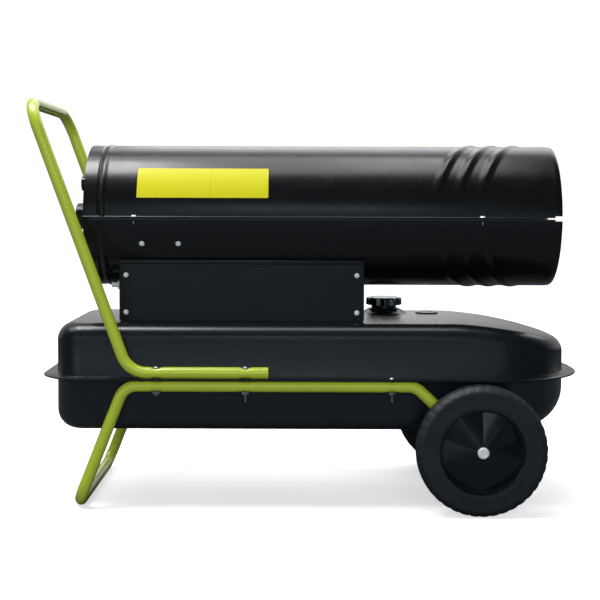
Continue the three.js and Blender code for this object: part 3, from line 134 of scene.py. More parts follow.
RED = finish("red_plastic", (0.50, 0.015, 0.012, 1), 0.3, bump=0.01, grain=900, shade=0.9)
print("finishes so far:", len(bpy.data.materials))

# %% Metals
ZINC = finish("zinc_plate", (0.62, 0.64, 0.66, 1), 0.28, 1.0, bump=0.01, grain=1500, patch=60)
PASSIVATED = finish("zinc_passivated", (0.88, 0.90, 0.90, 1), 0.34, 0.25, bump=0.01, grain=1500, patch=60)
CAP_METAL = finish("cap_metal", (0.22, 0.235, 0.24, 1), 0.16, 1.0, bump=0.02, grain=700, patch=40)
STEEL = finish("plated_sheet", (0.50, 0.51, 0.52, 1), 0.36, 1.0, bump=0.012, grain=900, stretch=(0.1, 1, 1))
ALLOY = finish("cast_alloy", (0.52, 0.53, 0.54, 1), 0.5, 1.0, bump=0.08, grain=700, uneven=0.1)
HOT = finish("heated_steel", (0.42, 0.39, 0.35, 1), 0.38, 1.0, bump=0.02, grain=500, patch=14,
             tint=(0.20, 0.17, 0.19, 1))
BRASS = finish("brass", (0.62, 0.45, 0.18, 1), 0.3, 1.0, bump=0.01, grain=900)
print("finishes so far:", len(bpy.data.materials))

# %% Labels, dials and small parts
YELLOW = finish("label_yellow", (0.60, 0.565, 0.010, 1), 0.44, bump=0.006, grain=500, shade=0.97, uneven=0.03,
                specular=0.25)
OLIVE = finish("label_line", (0.30, 0.28, 0.02, 1), 0.5, bump=0.0, shade=0.97)
INK = finish("dark_ink", (0.02, 0.02, 0.02, 1), 0.5, bump=0.0)
DIAL = finish("dial_white", (0.80, 0.80, 0.78, 1), 0.4, bump=0.005, grain=600, shade=0.97)
CERAMIC = finish("glazed_ceramic", (0.78, 0.74, 0.66, 1), 0.18, bump=0.01, grain=300, shade=0.95)
BOARD = finish("circuit_board", (0.02, 0.12, 0.045, 1), 0.35, bump=0.02, grain=500, patch=80)
DARK_FELT = finish("filter_felt", (0.05, 0.048, 0.045, 1), 0.9, bump=0.3, grain=900)


def glass():
    """Clear moulded plastic for the gauge's windows."""
    material = bpy.data.materials.new("clear_window")
    material.use_nodes = True
    tree = material.node_tree
    shader = tree.nodes["Principled BSDF"]
    shader.inputs["Base Color"].default_value = (0.93, 0.96, 0.96, 1)
    shader.inputs["Transmission Weight"].default_value = 1.0
    shader.inputs["IOR"].default_value = 1.45
    tree.links.new(spread(tree, noise_node(tree, 40), 0.03, 0.10), shader.inputs["Roughness"])
    return material


CLEAR = glass()
print("finishes:", len(bpy.data.materials))

# %% [markdown]
# ## From points to pieces
# Every piece here has a form that can be written down as rings of points with faces between them.
# Blender's own primitives and modifiers could be stacked instead, but points that are worked out from the
# sizes land exactly on the CAD solids. `piece` makes the object and sets it on its body, `joined` makes
# one form of several, and `skin` runs a surface over rings.

# %% Meshes from points
def piece(name, form, look, body="chassis", stands_for=(), sharp=34):
    """A mesh object in its place, riding on a CAD body."""
    points, faces = form
    mesh = bpy.data.meshes.new(name)
    mesh.from_pydata([((x - MIDDLE) * MM, y * MM, z * MM) for x, y, z in points], [], faces)
    work = bmesh.new()
    work.from_mesh(mesh)
    bmesh.ops.remove_doubles(work, verts=work.verts, dist=0.002 * MM)
    bmesh.ops.recalc_face_normals(work, faces=work.faces)
    work.to_mesh(mesh)
    work.free()
    mesh.shade_smooth()
    mesh.set_sharp_from_angle(angle=math.radians(sharp))
    made = bpy.data.objects.new(name, mesh)
    bpy.context.scene.collection.objects.link(made)
    mesh.materials.append(look)
    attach(made, body)
    if stands_for:
        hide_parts(*([stands_for] if isinstance(stands_for, str) else stands_for))
    return made


def joined(*forms):
    """Several forms as one."""
    points, faces = [], []
    for form_points, form_faces in forms:
        shift = len(points)
        points += [tuple(p) for p in form_points]
        faces += [[i + shift for i in face] for face in form_faces]
    return points, faces


def skin(rings, around=True, along=False, ends=False):
    """A surface over rings of equally many points.
    around closes each ring, along joins the last to the first, and ends closes both open ends."""
    count = len(rings[0])
    points = [tuple(p) for ring in rings for p in ring]
    faces = []
    rows = len(rings) if along else len(rings) - 1
    columns = count if around else count - 1
    for r in range(rows):
        a, b = r * count, (r + 1) % len(rings) * count
        for i in range(columns):
            j = (i + 1) % count
            faces.append([a + i, a + j, b + j, b + i])
    if ends:
        faces.append(list(range(count)))
        faces.append(list(range((len(rings) - 1) * count, len(rings) * count)))
    return points, faces


SQUARE = [(0, 0), (1, 0), (1, 1), (0, 1)]
cube = skin([[(x, y, z) for x, y in SQUARE] for z in (0, 1)], ends=True)
print("faces of a skinned cube:", len(cube[1]))

# %% [markdown]
# ## Outlines, drawn out or turned
# Folded sheet has one section all along it, and turned and spun parts have one all round, so a single
# outline is enough for each. `rounded` gives its corners the radius that a press or a mould leaves. A
# bevel modifier could do that later, but not with another radius at every corner.

# %% Outline helpers
AXES = {
    "x": lambda across, up, along: (along, across, up),
    "y": lambda across, up, along: (across, along, up),
    "z": lambda across, up, along: (across, up, along),
}


def rounded(corners, radii, steps=5, closed=False):
    """A line through corners in a plane, each rounded by its radius, or all by one."""
    radii = radii if isinstance(radii, (list, tuple)) else [radii] * len(corners)
    line = []
    count = len(corners)
    for i, corner in enumerate(corners):
        if not closed and i in (0, count - 1):
            line.append(tuple(corner))
            continue
        here = np.array(corner, float)
        back = np.array(corners[i - 1], float) - here
        on = np.array(corners[(i + 1) % count], float) - here
        lengths = np.linalg.norm(back), np.linalg.norm(on)
        back, on = back / lengths[0], on / lengths[1]
        half = math.acos(max(-1, min(1, float(back @ on)))) / 2
        if radii[i] <= 0 or half > math.radians(88):
            line.append(tuple(corner))
            continue
        reach = min(radii[i] / math.tan(half), 0.49 * lengths[0], 0.49 * lengths[1])
        start, end = here + back * reach, here + on * reach
        for k in range(steps + 1):
            t = k / steps
            line.append(tuple((1 - t) ** 2 * start + 2 * t * (1 - t) * here + t ** 2 * end))
    return line


def prism(outline, low, high, axis="z"):
    """A closed outline drawn out along an axis."""
    rings = [[AXES[axis](a, b, height) for a, b in outline] for height in (low, high)]
    return skin(rings, ends=True)


def lathe(profile, axis, centre, steps=64):
    """A profile of (radius, height) pairs turned about an axis through the centre."""
    rings = []
    for k in range(steps):
        turn = 2 * math.pi * k / steps
        ring = []
        for radius, height in profile:
            p = AXES[axis](radius * math.cos(turn), radius * math.sin(turn), height)
            ring.append(tuple(a + b for a, b in zip(p, centre)))
        rings.append(ring)
    return skin(rings, around=False, along=True)


print("points of a rounded square:", len(rounded(SQUARE, 0.2, closed=True)))

# %% [markdown]
# ## Sizes
# Each section starts with the sizes that it shares with the CAD source, so that every surface lies on the
# solid that it dresses. Two of them are used all over: the thickness of the sheet metal, and the small
# gap that is left wherever two pieces touch. Without the gap, two faces in one place would flicker in the
# render.

# %% Sheet and gap
SHEET = 1.2
SEAT = 0.3
print("sheet:", SHEET, "mm, gap:", SEAT, "mm")

# %% [markdown]
# ## Barrel shells
# Two rolled half shells meet in flat seam flanges that are screwed together. Each is pressed with a
# groove and a bead at the inlet, a rolled-in mouth, and three slanted ridges that stiffen it near the
# outlet. The pressings could be sculpted, or left to a bump in the paint, but a bump doesn't show in the
# outline. Here the surface is the cylinder plus the height of each pressing, sampled closely where the
# pressings are.

# %% Barrel sizes
BARREL_Z, BARREL_R, BARREL_REAR, BARREL_FRONT = 464.8, 115.5, -358.4, 415.6
RISE = 1 + 4.5 / BARREL_R    # the upper half is a little taller than a half circle
FLANGE_OUT, FLANGE_FRONT, LOWER_FLANGE_START = 12.5, 388.7, 17
RIDGE_TOPS, RIDGE_SWEEP, RIDGE_FOOT, RIDGE_WIDTH, RIDGE_HEIGHT = (283, 318.5, 355), 72, 15, 17, 2.2
GROOVE_X, GROOVE_DEPTH, GROOVE_HALF = BARREL_REAR + 23.5, 1.4, 2.8
BEAD_X, BEAD_HEIGHT, BEAD_HALF = GROOVE_X + 7.5, 1.7, 6
MOUTH_X, MOUTH_DEPTH, MOUTH_CURL = BARREL_FRONT - 9, 3, 9.2
NOTCH_X, NOTCH_HALF, SLIT_HALF = BARREL_FRONT - 12, 4.0, 1.2
print("barrel:", round(BARREL_FRONT - BARREL_REAR, 1), "mm long,", 2 * BARREL_R, "mm across")


# %% Heights of the pressings
def bump_shape(t):
    """A smooth hump from 0 at -1 to 1 in the middle and back to 0 at 1."""
    return math.cos(math.pi * t / 2) ** 2 if abs(t) < 1 else 0.0


def crest_shape(t):
    """A pressed ridge across its width: straight flanks that meet in a narrow rounded crest."""
    soft = 0.13
    return max(0.0, (1 - math.hypot(t, soft)) / (1 - soft))


def ridge_height(x, degrees):
    """How far the slanted ridges stand out at a place, from 0 at the near seam to 180 at the far one."""
    if not RIDGE_FOOT < degrees < 180 - RIDGE_FOOT:
        return 0.0
    climb = 1 - abs(degrees - 90) / (90 - RIDGE_FOOT)
    height = 0.0
    for top in RIDGE_TOPS:
        middle = top - RIDGE_SWEEP * (1 - climb ** 1.4)
        crest = crest_shape((x - middle) / (0.62 * RIDGE_WIDTH))
        height = max(height, RIDGE_HEIGHT * min(1, 3 * climb) * crest)
    return height


def shell_height(x, degrees):
    """The radius of the shell at a place, with its groove, bead, rolled-in mouth and ridges."""
    radius = BARREL_R - GROOVE_DEPTH * bump_shape((x - GROOVE_X) / GROOVE_HALF)
    radius += BEAD_HEIGHT * bump_shape((x - BEAD_X) / BEAD_HALF)
    if x > MOUTH_X:
        radius -= MOUTH_DEPTH * (1 - math.sqrt(max(0, 1 - ((x - MOUTH_X) / MOUTH_CURL) ** 2)))
    return radius + ridge_height(x, degrees)


print("a ridge's top stands out by", round(ridge_height(RIDGE_TOPS[0], 90), 2), "mm")


# %% Where the shell is sampled
def stations(*spans):
    """Places along X from (start, end, step) spans."""
    xs = []
    for start, end, step in spans:
        count = max(1, round((end - start) / step))
        xs += [start + (end - start) * k / count for k in range(count)]
    return xs + [spans[-1][1]]


PRESSED_REAR, PRESSED_FRONT = -350, -316
RIDGES_REAR, RIDGES_FRONT = RIDGE_TOPS[0] - RIDGE_SWEEP - 15, RIDGE_TOPS[-1] + RIDGE_WIDTH
SHELL_XS = stations((BARREL_REAR, PRESSED_REAR, 4), (PRESSED_REAR, PRESSED_FRONT, 0.8),
                    (PRESSED_FRONT, RIDGES_REAR, 25.6), (RIDGES_REAR, RIDGES_FRONT, 1.1),
                    (RIDGES_FRONT, FLANGE_FRONT, 4), (FLANGE_FRONT, FLANGE_FRONT + 0.3, 1),
                    (FLANGE_FRONT + 0.3, NOTCH_X, 5), (NOTCH_X, NOTCH_X + 0.2, 1),
                    (NOTCH_X + 0.2, MOUTH_X, 1.4), (MOUTH_X, BARREL_FRONT, 0.75))
print("places along the shell:", len(SHELL_XS))


# %% Half shells
def seam_gap(x):
    """Half the height of the opening between the shells: a slit past the flanges, a notch at the mouth."""
    if x > NOTCH_X + 0.1:
        return NOTCH_HALF
    return SLIT_HALF if x > FLANGE_FRONT + 0.1 else SEAT / 2


def shell(side, flange_rear):
    """One half shell with its two seam flanges. side is 1 for the upper half and -1 for the lower one."""
    steps = 84
    rise = RISE if side > 0 else 1
    # the upper flange's outer edge is hemmed, and the lower one's is turned down, so that it hides the nuts
    edge, lip = (1.7, 2.5) if side > 0 else (5, SHEET)
    columns = []
    for k in range(steps + 1):
        line = []
        for inset in (0, SHEET):
            part = []
            for x in SHELL_XS:
                start = math.degrees(math.asin(seam_gap(x) / BARREL_R))
                degrees = start + (180 - 2 * start) * k / steps
                radius = shell_height(x, degrees) - inset
                turn = math.radians(degrees)
                part.append((x, -radius * math.cos(turn), BARREL_Z + side * rise * radius * math.sin(turn)))
            line += part if inset == 0 else part[::-1]
        columns.append(line)
    body = skin(columns, around=True, ends=False)
    count = len(SHELL_XS)
    for base in (0, steps * 2 * count):
        for i in range(count - 1):
            body[1].append([base + i, base + i + 1, base + 2 * count - 2 - i, base + 2 * count - 1 - i])
    flanges = []
    near, tip, face = BARREL_R - SHEET / 2, BARREL_R + FLANGE_OUT, SEAT / 2
    for hand in (-1, 1):
        outline = rounded(
            [(near, face), (tip, face), (tip, face + edge), (tip - lip, face + edge),
             (tip - lip - 0.5, face + SHEET), (BARREL_R - 0.1, face + SHEET), (BARREL_R - 0.4, 6), (near, 6)],
            [0, 0.6, 0.6, 0.3, 0.3, 2.5, 0.2, 0], closed=True)
        outline = [(hand * y, BARREL_Z + side * z) for y, z in outline]
        flanges.append(prism(outline, flange_rear, FLANGE_FRONT, "x"))
    return joined(body, *flanges)


upper_shell = piece("shell_upper", shell(1, BARREL_REAR), BLACK, stands_for="upper_shell")
lower_shell = piece("shell_lower", shell(-1, BARREL_REAR + LOWER_FLANGE_START), BLACK,
                    stands_for="lower_shell")
print("barrel faces:", len(upper_shell.data.polygons) + len(lower_shell.data.polygons))

# %% [markdown]
# ## Fuel tank
# Two deep-drawn sheet pressings meet in a flat welded flange. Their corners and edges are large soft
# radii, and the top falls away towards the front. A block with a bevel comes near it, but has the same
# edge radius all round, which the real tank hasn't. So each half is a skin over its plan outline: the
# edge bends down the wall, the wall meets the flange in a small root radius, and the flange's outer edge
# is rounded.

# %% Tank outlines in plan
TANK_REAR, TANK_FRONT, TANK_HALF = -402.4, 436, 143
TANK_TOP, TANK_SEAM, TANK_BOTTOM = 294.9, 208.65, 124
UPPER_FLANGE, LOWER_FLANGE = TANK_SEAM + SEAT / 2, TANK_SEAM - SEAT / 2 - SHEET


def plan(rear, front, half, rear_corner, front_corner, steps=20):
    """The near half of an outline in plan as (x, y, nx, ny), rear to front, then its mirror back."""
    near = []
    for cx, cy, radius, start in ((rear + rear_corner, rear_corner - half, rear_corner, 180),
                                  (front - front_corner, front_corner - half, front_corner, 270)):
        if start == 270:
            first, last = rear + rear_corner, front - front_corner
            near += [(first + (last - first) * k / 44, -half, 0, -1) for k in range(1, 44)]
        for k in range(steps + 1):
            turn = math.radians(start + 90 * k / steps)
            nx, ny = math.cos(turn), math.sin(turn)
            near.append((cx + radius * nx, cy + radius * ny, nx, ny))
    return near + [(x, -y, nx, -ny) for x, y, nx, ny in reversed(near)]


WALL = plan(TANK_REAR, TANK_FRONT, TANK_HALF, 46, 132)
RIM = plan(TANK_REAR - 25.2, TANK_FRONT + 21, TANK_HALF + 24, 85, 150)
print("points round the tank:", len(WALL))

# %% The tank's top
RAMP_START, RAMP_SLOPE, RAMP_BOW = 250, 0.0685, 0.00059


def top_at(x):
    """The height of the top: level, then after a soft change a slope that steepens towards the front."""
    blend = 14
    past = x - RAMP_START
    if past < -blend:
        return TANK_TOP
    if past > blend:
        return TANK_TOP - RAMP_SLOPE * past - RAMP_BOW * past ** 2
    return TANK_TOP - (RAMP_SLOPE + RAMP_BOW * blend) * (past + blend) ** 2 / (4 * blend)


print("the top falls by", round(TANK_TOP - top_at(TANK_FRONT), 1), "mm")


# %% Holes
FILLER, FILLER_HOLE = (141.1, 78, 0), 24
GAUGE, GAUGE_HOLE = (216.3, 68, 0), 16.3


def cut_away(target, *forms):
    """Cuts closed forms out of a piece."""
    for form in forms:
        cutter = piece("cutter", form, INK)
        change = target.modifiers.new("cut", "BOOLEAN")
        change.operation = "DIFFERENCE"
        change.solver = "EXACT"
        change.object = cutter
        with bpy.context.temp_override(object=target, active_object=target):
            bpy.ops.object.modifier_apply(modifier=change.name)
        bpy.data.objects.remove(cutter)
    target.data.set_sharp_from_angle(angle=math.radians(34))
    return target


print("holes in the tank:", 2 * FILLER_HOLE, "and", 2 * GAUGE_HOLE, "mm across")


# %% One half of the tank
def tank_half(side, radii, seam, face_at):
    """One pressing, with its edge radius at the rear, the sides and the front, on its side of the seam."""
    rear, edge, front = radii

    def skin_ring(inset, bend):
        made = []
        for x, y, nx, ny in WALL:
            radius = edge + ((rear if nx < 0 else front) - edge) * nx * nx - inset
            back = inset + radius * (1 - math.cos(bend))
            px, py = x - nx * back, y - ny * back
            made.append((px, py, face_at(px) - side * (inset + radius * (1 - math.sin(bend)))))
        return made

    def foot(inset, z):
        return [(x - nx * inset, y - ny * inset, z) for x, y, nx, ny in WALL]

    def rim(out, z):
        made = []
        for (x, y, nx, ny), (rx, ry, _, _) in zip(WALL, RIM):
            made.append((rx + nx * out, ry + ny * out, z))
        return made

    outer = seam + side * SHEET
    bends = [math.radians(90 - 9 * k) for k in range(11)]
    rings = [skin_ring(0, b) for b in bends]
    rings += [foot(0, outer + side * 3), foot(-0.9, outer + side * 0.9), foot(-3, outer)]
    rings += [rim(-0.5, outer), rim(0, outer - side * 0.3), rim(0, seam + side * 0.3), rim(-0.5, seam)]
    rings += [foot(SHEET, seam)] + [skin_ring(SHEET, b) for b in reversed(bends)]
    points, faces = skin(rings)
    count = len(WALL)
    last = (len(rings) - 1) * count
    for base in (0, last):
        for i in range(count // 2 - 1):
            faces.append([base + i, base + i + 1, base + count - 2 - i, base + count - 1 - i])
    return points, faces


# %% Both halves, and the holes in the upper one
TOP_RADII, BOTTOM_RADII = (28, 25, 20), (30, 20, 60)
tank_upper = piece("tank_top_half", tank_half(1, TOP_RADII, UPPER_FLANGE, top_at), TANK,
                   stands_for="tank_upper", sharp=40)
for radius, place in ((FILLER_HOLE, FILLER), (GAUGE_HOLE, GAUGE)):
    low, high = TANK_TOP - 10, TANK_TOP + 10
    cut_away(tank_upper, lathe([(0, low), (radius, low), (radius, high), (0, high)], "z", place))
lower_form = tank_half(-1, BOTTOM_RADII, LOWER_FLANGE + SHEET, lambda x: TANK_BOTTOM)
tank_lower = piece("tank_bottom_half", lower_form, TANK, stands_for="tank_lower", sharp=40)
print("tank faces:", len(tank_upper.data.polygons) + len(tank_lower.data.polygons))

# %% Filler neck
dome_line = rounded([(43, -0.1), (39.5, 0.7), (27, 7.8), (22, 7.8), (22, 19.4)], [0, 3, 3, 2, 0])
dome_line += rounded([(21.6, 19.8), (20.3, 19.8), (20, 19.4), (20, 6.6), (38, -1.1), (38, -2.5)],
                     [0, 0.2, 0, 2, 2, 0])
dome_line = [(radius, TANK_TOP + up) for radius, up in dome_line]
neck = piece("filler_neck", lathe(dome_line, "z", FILLER), TANK, sharp=50)
print("filler neck faces:", len(neck.data.polygons))

# %% [markdown]
# ## Handle and lower frame
# Both are one steel tube each, bent on a mandrel and powder coated. Where a bolt goes through, the tube
# is pinched a little by the clamping. The handle's front ends and the frame's legs are cut off square and
# open. A curve object with a round bevel would give the bends, but not the pinches and the open ends, so
# rings of points are swept along each line.

# %% A line with bends
def bent_line(corners, bends, step=4.0):
    """Points along a line with its corners rounded by arcs, a few degrees apart."""
    points = [Vector(corners[0])]
    for i in range(1, len(corners) - 1):
        corner = Vector(corners[i])
        back = (Vector(corners[i - 1]) - corner).normalized()
        on = (Vector(corners[i + 1]) - corner).normalized()
        half = back.angle(on) / 2
        radius = bends[i - 1]
        centre = corner + (back + on).normalized() * (radius / math.sin(half))
        start = corner + back * (radius / math.tan(half)) - centre
        axis = back.cross(on).normalized()
        sweep = math.pi - 2 * half
        steps = max(4, round(math.degrees(sweep) / step))
        for k in range(steps + 1):
            points.append(centre + Matrix.Rotation(-sweep * k / steps, 3, axis) @ start)
    points.append(Vector(corners[-1]))
    return points


def resampled(points, every):
    """The same line with points no further apart than a given length."""
    line = [points[0]]
    for a, b in zip(points, points[1:]):
        pieces = max(1, math.ceil((b - a).length / every))
        line += [a.lerp(b, k / pieces) for k in range(1, pieces + 1)]
    return line


corner = bent_line([(0, 0, 0), (100, 0, 0), (100, 100, 0)], [30])
print("points of one bend:", len(corner) - 2)


# %% A tube along that line
def swept(points, radius, sides=28, squeeze=None, bore=0.0, bore_depth=0.0):
    """A round bar or tube along a line. squeeze(point) gives the height lost at that point, top and bottom.
    With a bore, both ends are open to that depth."""
    side = Vector((0, 1, 0))
    tangents = []
    for i in range(len(points)):
        tangents.append((points[min(i + 1, len(points) - 1)] - points[max(i - 1, 0)]).normalized())
    side = side - tangents[0] * side.dot(tangents[0])
    if side.length < 0.1:
        side = Vector((0, 0, 1)) - tangents[0] * tangents[0].z
    side.normalize()
    frames = []
    for p, tangent in zip(points, tangents):
        side = (side - tangent * side.dot(tangent)).normalized()
        frames.append((p, side.copy(), tangent.cross(side), tangent))

    def ring(place, out, shift=0.0, loss=0.0):
        p, u, v, tangent = place
        middle = p + tangent * shift
        made = []
        for k in range(sides):
            turn = 2 * math.pi * k / sides
            q = u * (out * math.cos(turn)) + v * (out * math.sin(turn))
            if loss:
                q.z *= 1 - loss / radius
            made.append(tuple(middle + q))
        return made

    first, last = frames[0], frames[-1]
    lip = 0.3 * (radius - bore)
    if bore:
        rings = [ring(first, 0.01, bore_depth), ring(first, bore, bore_depth), ring(first, bore, 0.4)]
        rings += [ring(first, bore + lip), ring(first, radius - lip), ring(first, radius, 0.5)]
    else:
        rings = [ring(first, 0.01), ring(first, radius)]
    for place in frames[1:-1]:
        rings.append(ring(place, radius, 0, squeeze(place[0]) if squeeze else 0))
    if bore:
        rings += [ring(last, radius, -0.5), ring(last, radius - lip), ring(last, bore + lip)]
        rings += [ring(last, bore, -0.4), ring(last, bore, -bore_depth), ring(last, 0.01, -bore_depth)]
    else:
        rings += [ring(last, radius), ring(last, 0.01)]
    return skin(rings)


bar = swept([Vector((0, 0, 0)), Vector((0, 0, 5))], 1)
print("faces of a short bar:", len(bar[1]))

# %% Tube sizes
TUBE_R, TUBE_Y, TUBE_BORE = 9.5, 155, 7.7
TUBE_FLAT = TUBE_R * math.cos(math.pi / 8)
HANDLE_Z = UPPER_FLANGE + SHEET + SEAT + TUBE_FLAT
FRAME_Z = LOWER_FLANGE - SEAT - TUBE_FLAT
HANDLE_FRONT, HANDLE_BEND, HANDLE_REAR, HANDLE_TOP = -57.4, -280, -436.4, 647.4
FOOT_X, FRAME_BEND, LEG_BEND = -360.4, -286.4, 176
AXLE_X, AXLE_Z, LEG_PAST_AXLE = 277.2, 103, 13
BOLT_XS = (-235.4, -93.9, 139.1)


def pinch(z_middle):
    """The height lost at a bolt, for tubes that lie level at that height."""
    def lost(p):
        if abs(p.z - z_middle) > 1 or abs(abs(p.y) - TUBE_Y) > 1:
            return 0.0
        return sum(1.5 * bump_shape((p.x - x) / 13) for x in BOLT_XS)
    return lost


print("handle tube at", round(HANDLE_Z, 1), "mm, frame tube at", round(FRAME_Z, 1), "mm")

# %% Tubes
handle_line = bent_line(
    [(HANDLE_FRONT, -TUBE_Y, HANDLE_Z), (HANDLE_BEND, -TUBE_Y, HANDLE_Z), (HANDLE_REAR, -TUBE_Y, HANDLE_TOP),
     (HANDLE_REAR, TUBE_Y, HANDLE_TOP), (HANDLE_BEND, TUBE_Y, HANDLE_Z), (HANDLE_FRONT, TUBE_Y, HANDLE_Z)],
    [42, 45, 45, 42])
handle_form = swept(resampled(handle_line, 4), TUBE_R, squeeze=pinch(HANDLE_Z), bore=TUBE_BORE, bore_depth=30)
handle = piece("handle_tube", handle_form, GREEN, stands_for="handle", sharp=45)
leg = Vector((AXLE_X - LEG_BEND, 0, AXLE_Z - FRAME_Z)).normalized() * LEG_PAST_AXLE
frame_line = bent_line(
    [Vector((AXLE_X, -TUBE_Y, AXLE_Z)) + leg, (LEG_BEND, -TUBE_Y, FRAME_Z), (FRAME_BEND, -TUBE_Y, FRAME_Z),
     (FOOT_X, -TUBE_Y, TUBE_R), (FOOT_X, TUBE_Y, TUBE_R), (FRAME_BEND, TUBE_Y, FRAME_Z),
     (LEG_BEND, TUBE_Y, FRAME_Z), Vector((AXLE_X, TUBE_Y, AXLE_Z)) + leg],
    [30, 30, 34, 34, 30, 30])
frame_form = swept(resampled(frame_line, 4), TUBE_R, squeeze=pinch(FRAME_Z), bore=TUBE_BORE, bore_depth=2)
base = piece("frame_tube", frame_form, GREEN, stands_for="base_frame", sharp=45)
print("tube faces:", len(handle.data.polygons) + len(base.data.polygons))

# %% [markdown]
# ## Wheels
# The rim is moulded plastic: its disc is folded into five pleats between the hub and a ring, which gives
# the fan of light and dark facets. The tyre is a semi-solid rubber ring with small lugs on its shoulders,
# and a push-on cap holds the wheel on the axle. One fifth of a rim or one lug could be repeated by an
# array and merged. Here a section goes once round the axle and changes on the way, which leaves no seam
# to merge.

# %% Wheel sizes and pleats
WHEEL_R, WHEEL_WIDTH, TYRE_DEPTH = 103, 38, 35.5
WHEEL_Y = TUBE_Y + TUBE_R + 2.5 + WHEEL_WIDTH / 2
PLEAT, PLEAT_DEPTH = 360 / 5, 6


def fold_at(degrees):
    """0 on a ridge and 1 in a valley, with the folds slightly rounded as a mould leaves them."""
    share = ((degrees + 90) % PLEAT) / (PLEAT / 2)
    away = abs(share - 1)
    soft = 0.06
    for edge in (0, 1):
        if abs(away - edge) < soft:
            step = soft - abs(away - edge)
            away += (1 - 2 * edge) * step * step / (4 * soft) * 2
    return 1 - away


print("pleats:", round(360 / PLEAT), "each", PLEAT_DEPTH, "mm deep")


# %% Rim
def rim_form(side):
    """The rim, with its pleated disc on the outer side."""
    half, face, hub, bore = WHEEL_WIDTH / 2, 10, 10, 6.3
    outer = WHEEL_R - TYRE_DEPTH - SEAT
    ring_in = outer - 5.5
    turns = sorted({round(-90 + 1.5 * k, 3) for k in range(240)})
    rings = []
    for degrees in turns:
        fold = PLEAT_DEPTH * fold_at(degrees)
        section = rounded(
            [(bore, half), (hub, half), (ring_in, face - fold), (ring_in + 0.8, face - fold - 0.2),
             (ring_in + 1.2, face), (outer - 3.2, face), (outer - 2.4, half - 3), (outer, half - 2)],
            [0, 1, 0.5, 0.3, 0.6, 1.0, 1, 0], steps=3)
        section += [(outer, 2 - half), (outer - 3, 2 - half), (outer - 3.2, face - 9)]
        section += [(ring_in, face - 3 - fold), (hub, half - 6), (hub, -half), (bore, -half)]
        turn = math.radians(degrees)
        rings.append([(AXLE_X + r * math.cos(turn), side * (WHEEL_Y + h), AXLE_Z + r * math.sin(turn))
                      for r, h in section])
    return skin(rings, along=True)


# %% Tyre
def tyre_form(side):
    """The tyre, with a groove on each side of its middle rib and lugs out to its shoulders."""
    inner, half = WHEEL_R - TYRE_DEPTH, WHEEL_WIDTH / 2
    section = rounded([(inner, -half), (WHEEL_R - 8, -half), (WHEEL_R - 0.3, 9 - half), (WHEEL_R, 0),
                       (WHEEL_R - 0.3, half - 9), (WHEEL_R - 8, half), (inner, half)],
                      [0, 8, 4, 0, 4, 8, 0], steps=6)
    wide = []
    for a, b in zip(section, section[1:]):
        pieces = max(1, round(math.dist(a, b) / 3))
        wide += [(a[0] + (b[0] - a[0]) * k / pieces, a[1] + (b[1] - a[1]) * k / pieces)
                 for k in range(pieces)]
    wide.append(section[-1])
    rings = []
    count = 360
    for k in range(count):
        turn = 2 * math.pi * k / count
        ring = []
        for r, h in wide:
            edge = min(1, max(0, (r - (WHEEL_R - 13)) / 6))
            lug = 1 if (k % 9) < 6 else 0
            across = 1 if abs(h) > 5 else 0
            bead = 0.7 * bump_shape((r - inner - 5) / 3)
            depth = 0.9 * edge * across * (1 - lug)
            groove = 1.0 * bump_shape((abs(h) - 5) / 1.6) * edge
            rr = r - depth - groove
            hh = h + math.copysign(bead - 0.4 * depth, h)
            ring.append((AXLE_X + rr * math.cos(turn), side * WHEEL_Y + hh, AXLE_Z + rr * math.sin(turn)))
        rings.append(ring)
    return skin(rings, around=True, along=True)


# %% Wheels in place
HUB_CAP = [(6.3, 19.3), (8.6, 19.3), (9, 19.7), (9, 21.6), (8.4, 22.6), (7.2, 23.2), (5.4, 23.3), (4.9, 22.6),
           (3.4, 22.4), (2.9, 22.9), (0.01, 23.1)]
for word, side in (("near", -1), ("far", 1)):
    wheel = f"wheel_{word}"
    piece(f"rim_{word}", rim_form(side), PLASTIC, wheel, f"wheel_rim_{word}", sharp=30)
    piece(f"tyre_ring_{word}", tyre_form(side), RUBBER, wheel, f"tyre_{word}", sharp=30)
    cap_line = [(radius, side * out) for radius, out in HUB_CAP]
    piece(f"hub_cap_{word}", lathe(cap_line, "y", (AXLE_X, side * WHEEL_Y, AXLE_Z)), PASSIVATED,
          stands_for=f"axle_cap_{word}")
print("wheels made at", WHEEL_Y, "mm from the middle")

# %% [markdown]
# ## Filler cap
# The cap is pressed from plated sheet, with twelve hollows for the fingers and a shallow dished top.
# Cutting twelve cylinders out of a disc would leave sharp ridges between them, so its radius follows a
# wave instead.

# %% Cap
CAP_R, CAP_LIFT, HOLLOWS, HOLLOW_DEPTH = 31.5, 14, 12, 2.7


def cap_radius(turn, depth):
    """The cap's rim with its finger hollows, which are as deep as given."""
    wave = (1 - math.cos(HOLLOWS * turn)) / 2
    return CAP_R - depth * wave ** 0.7


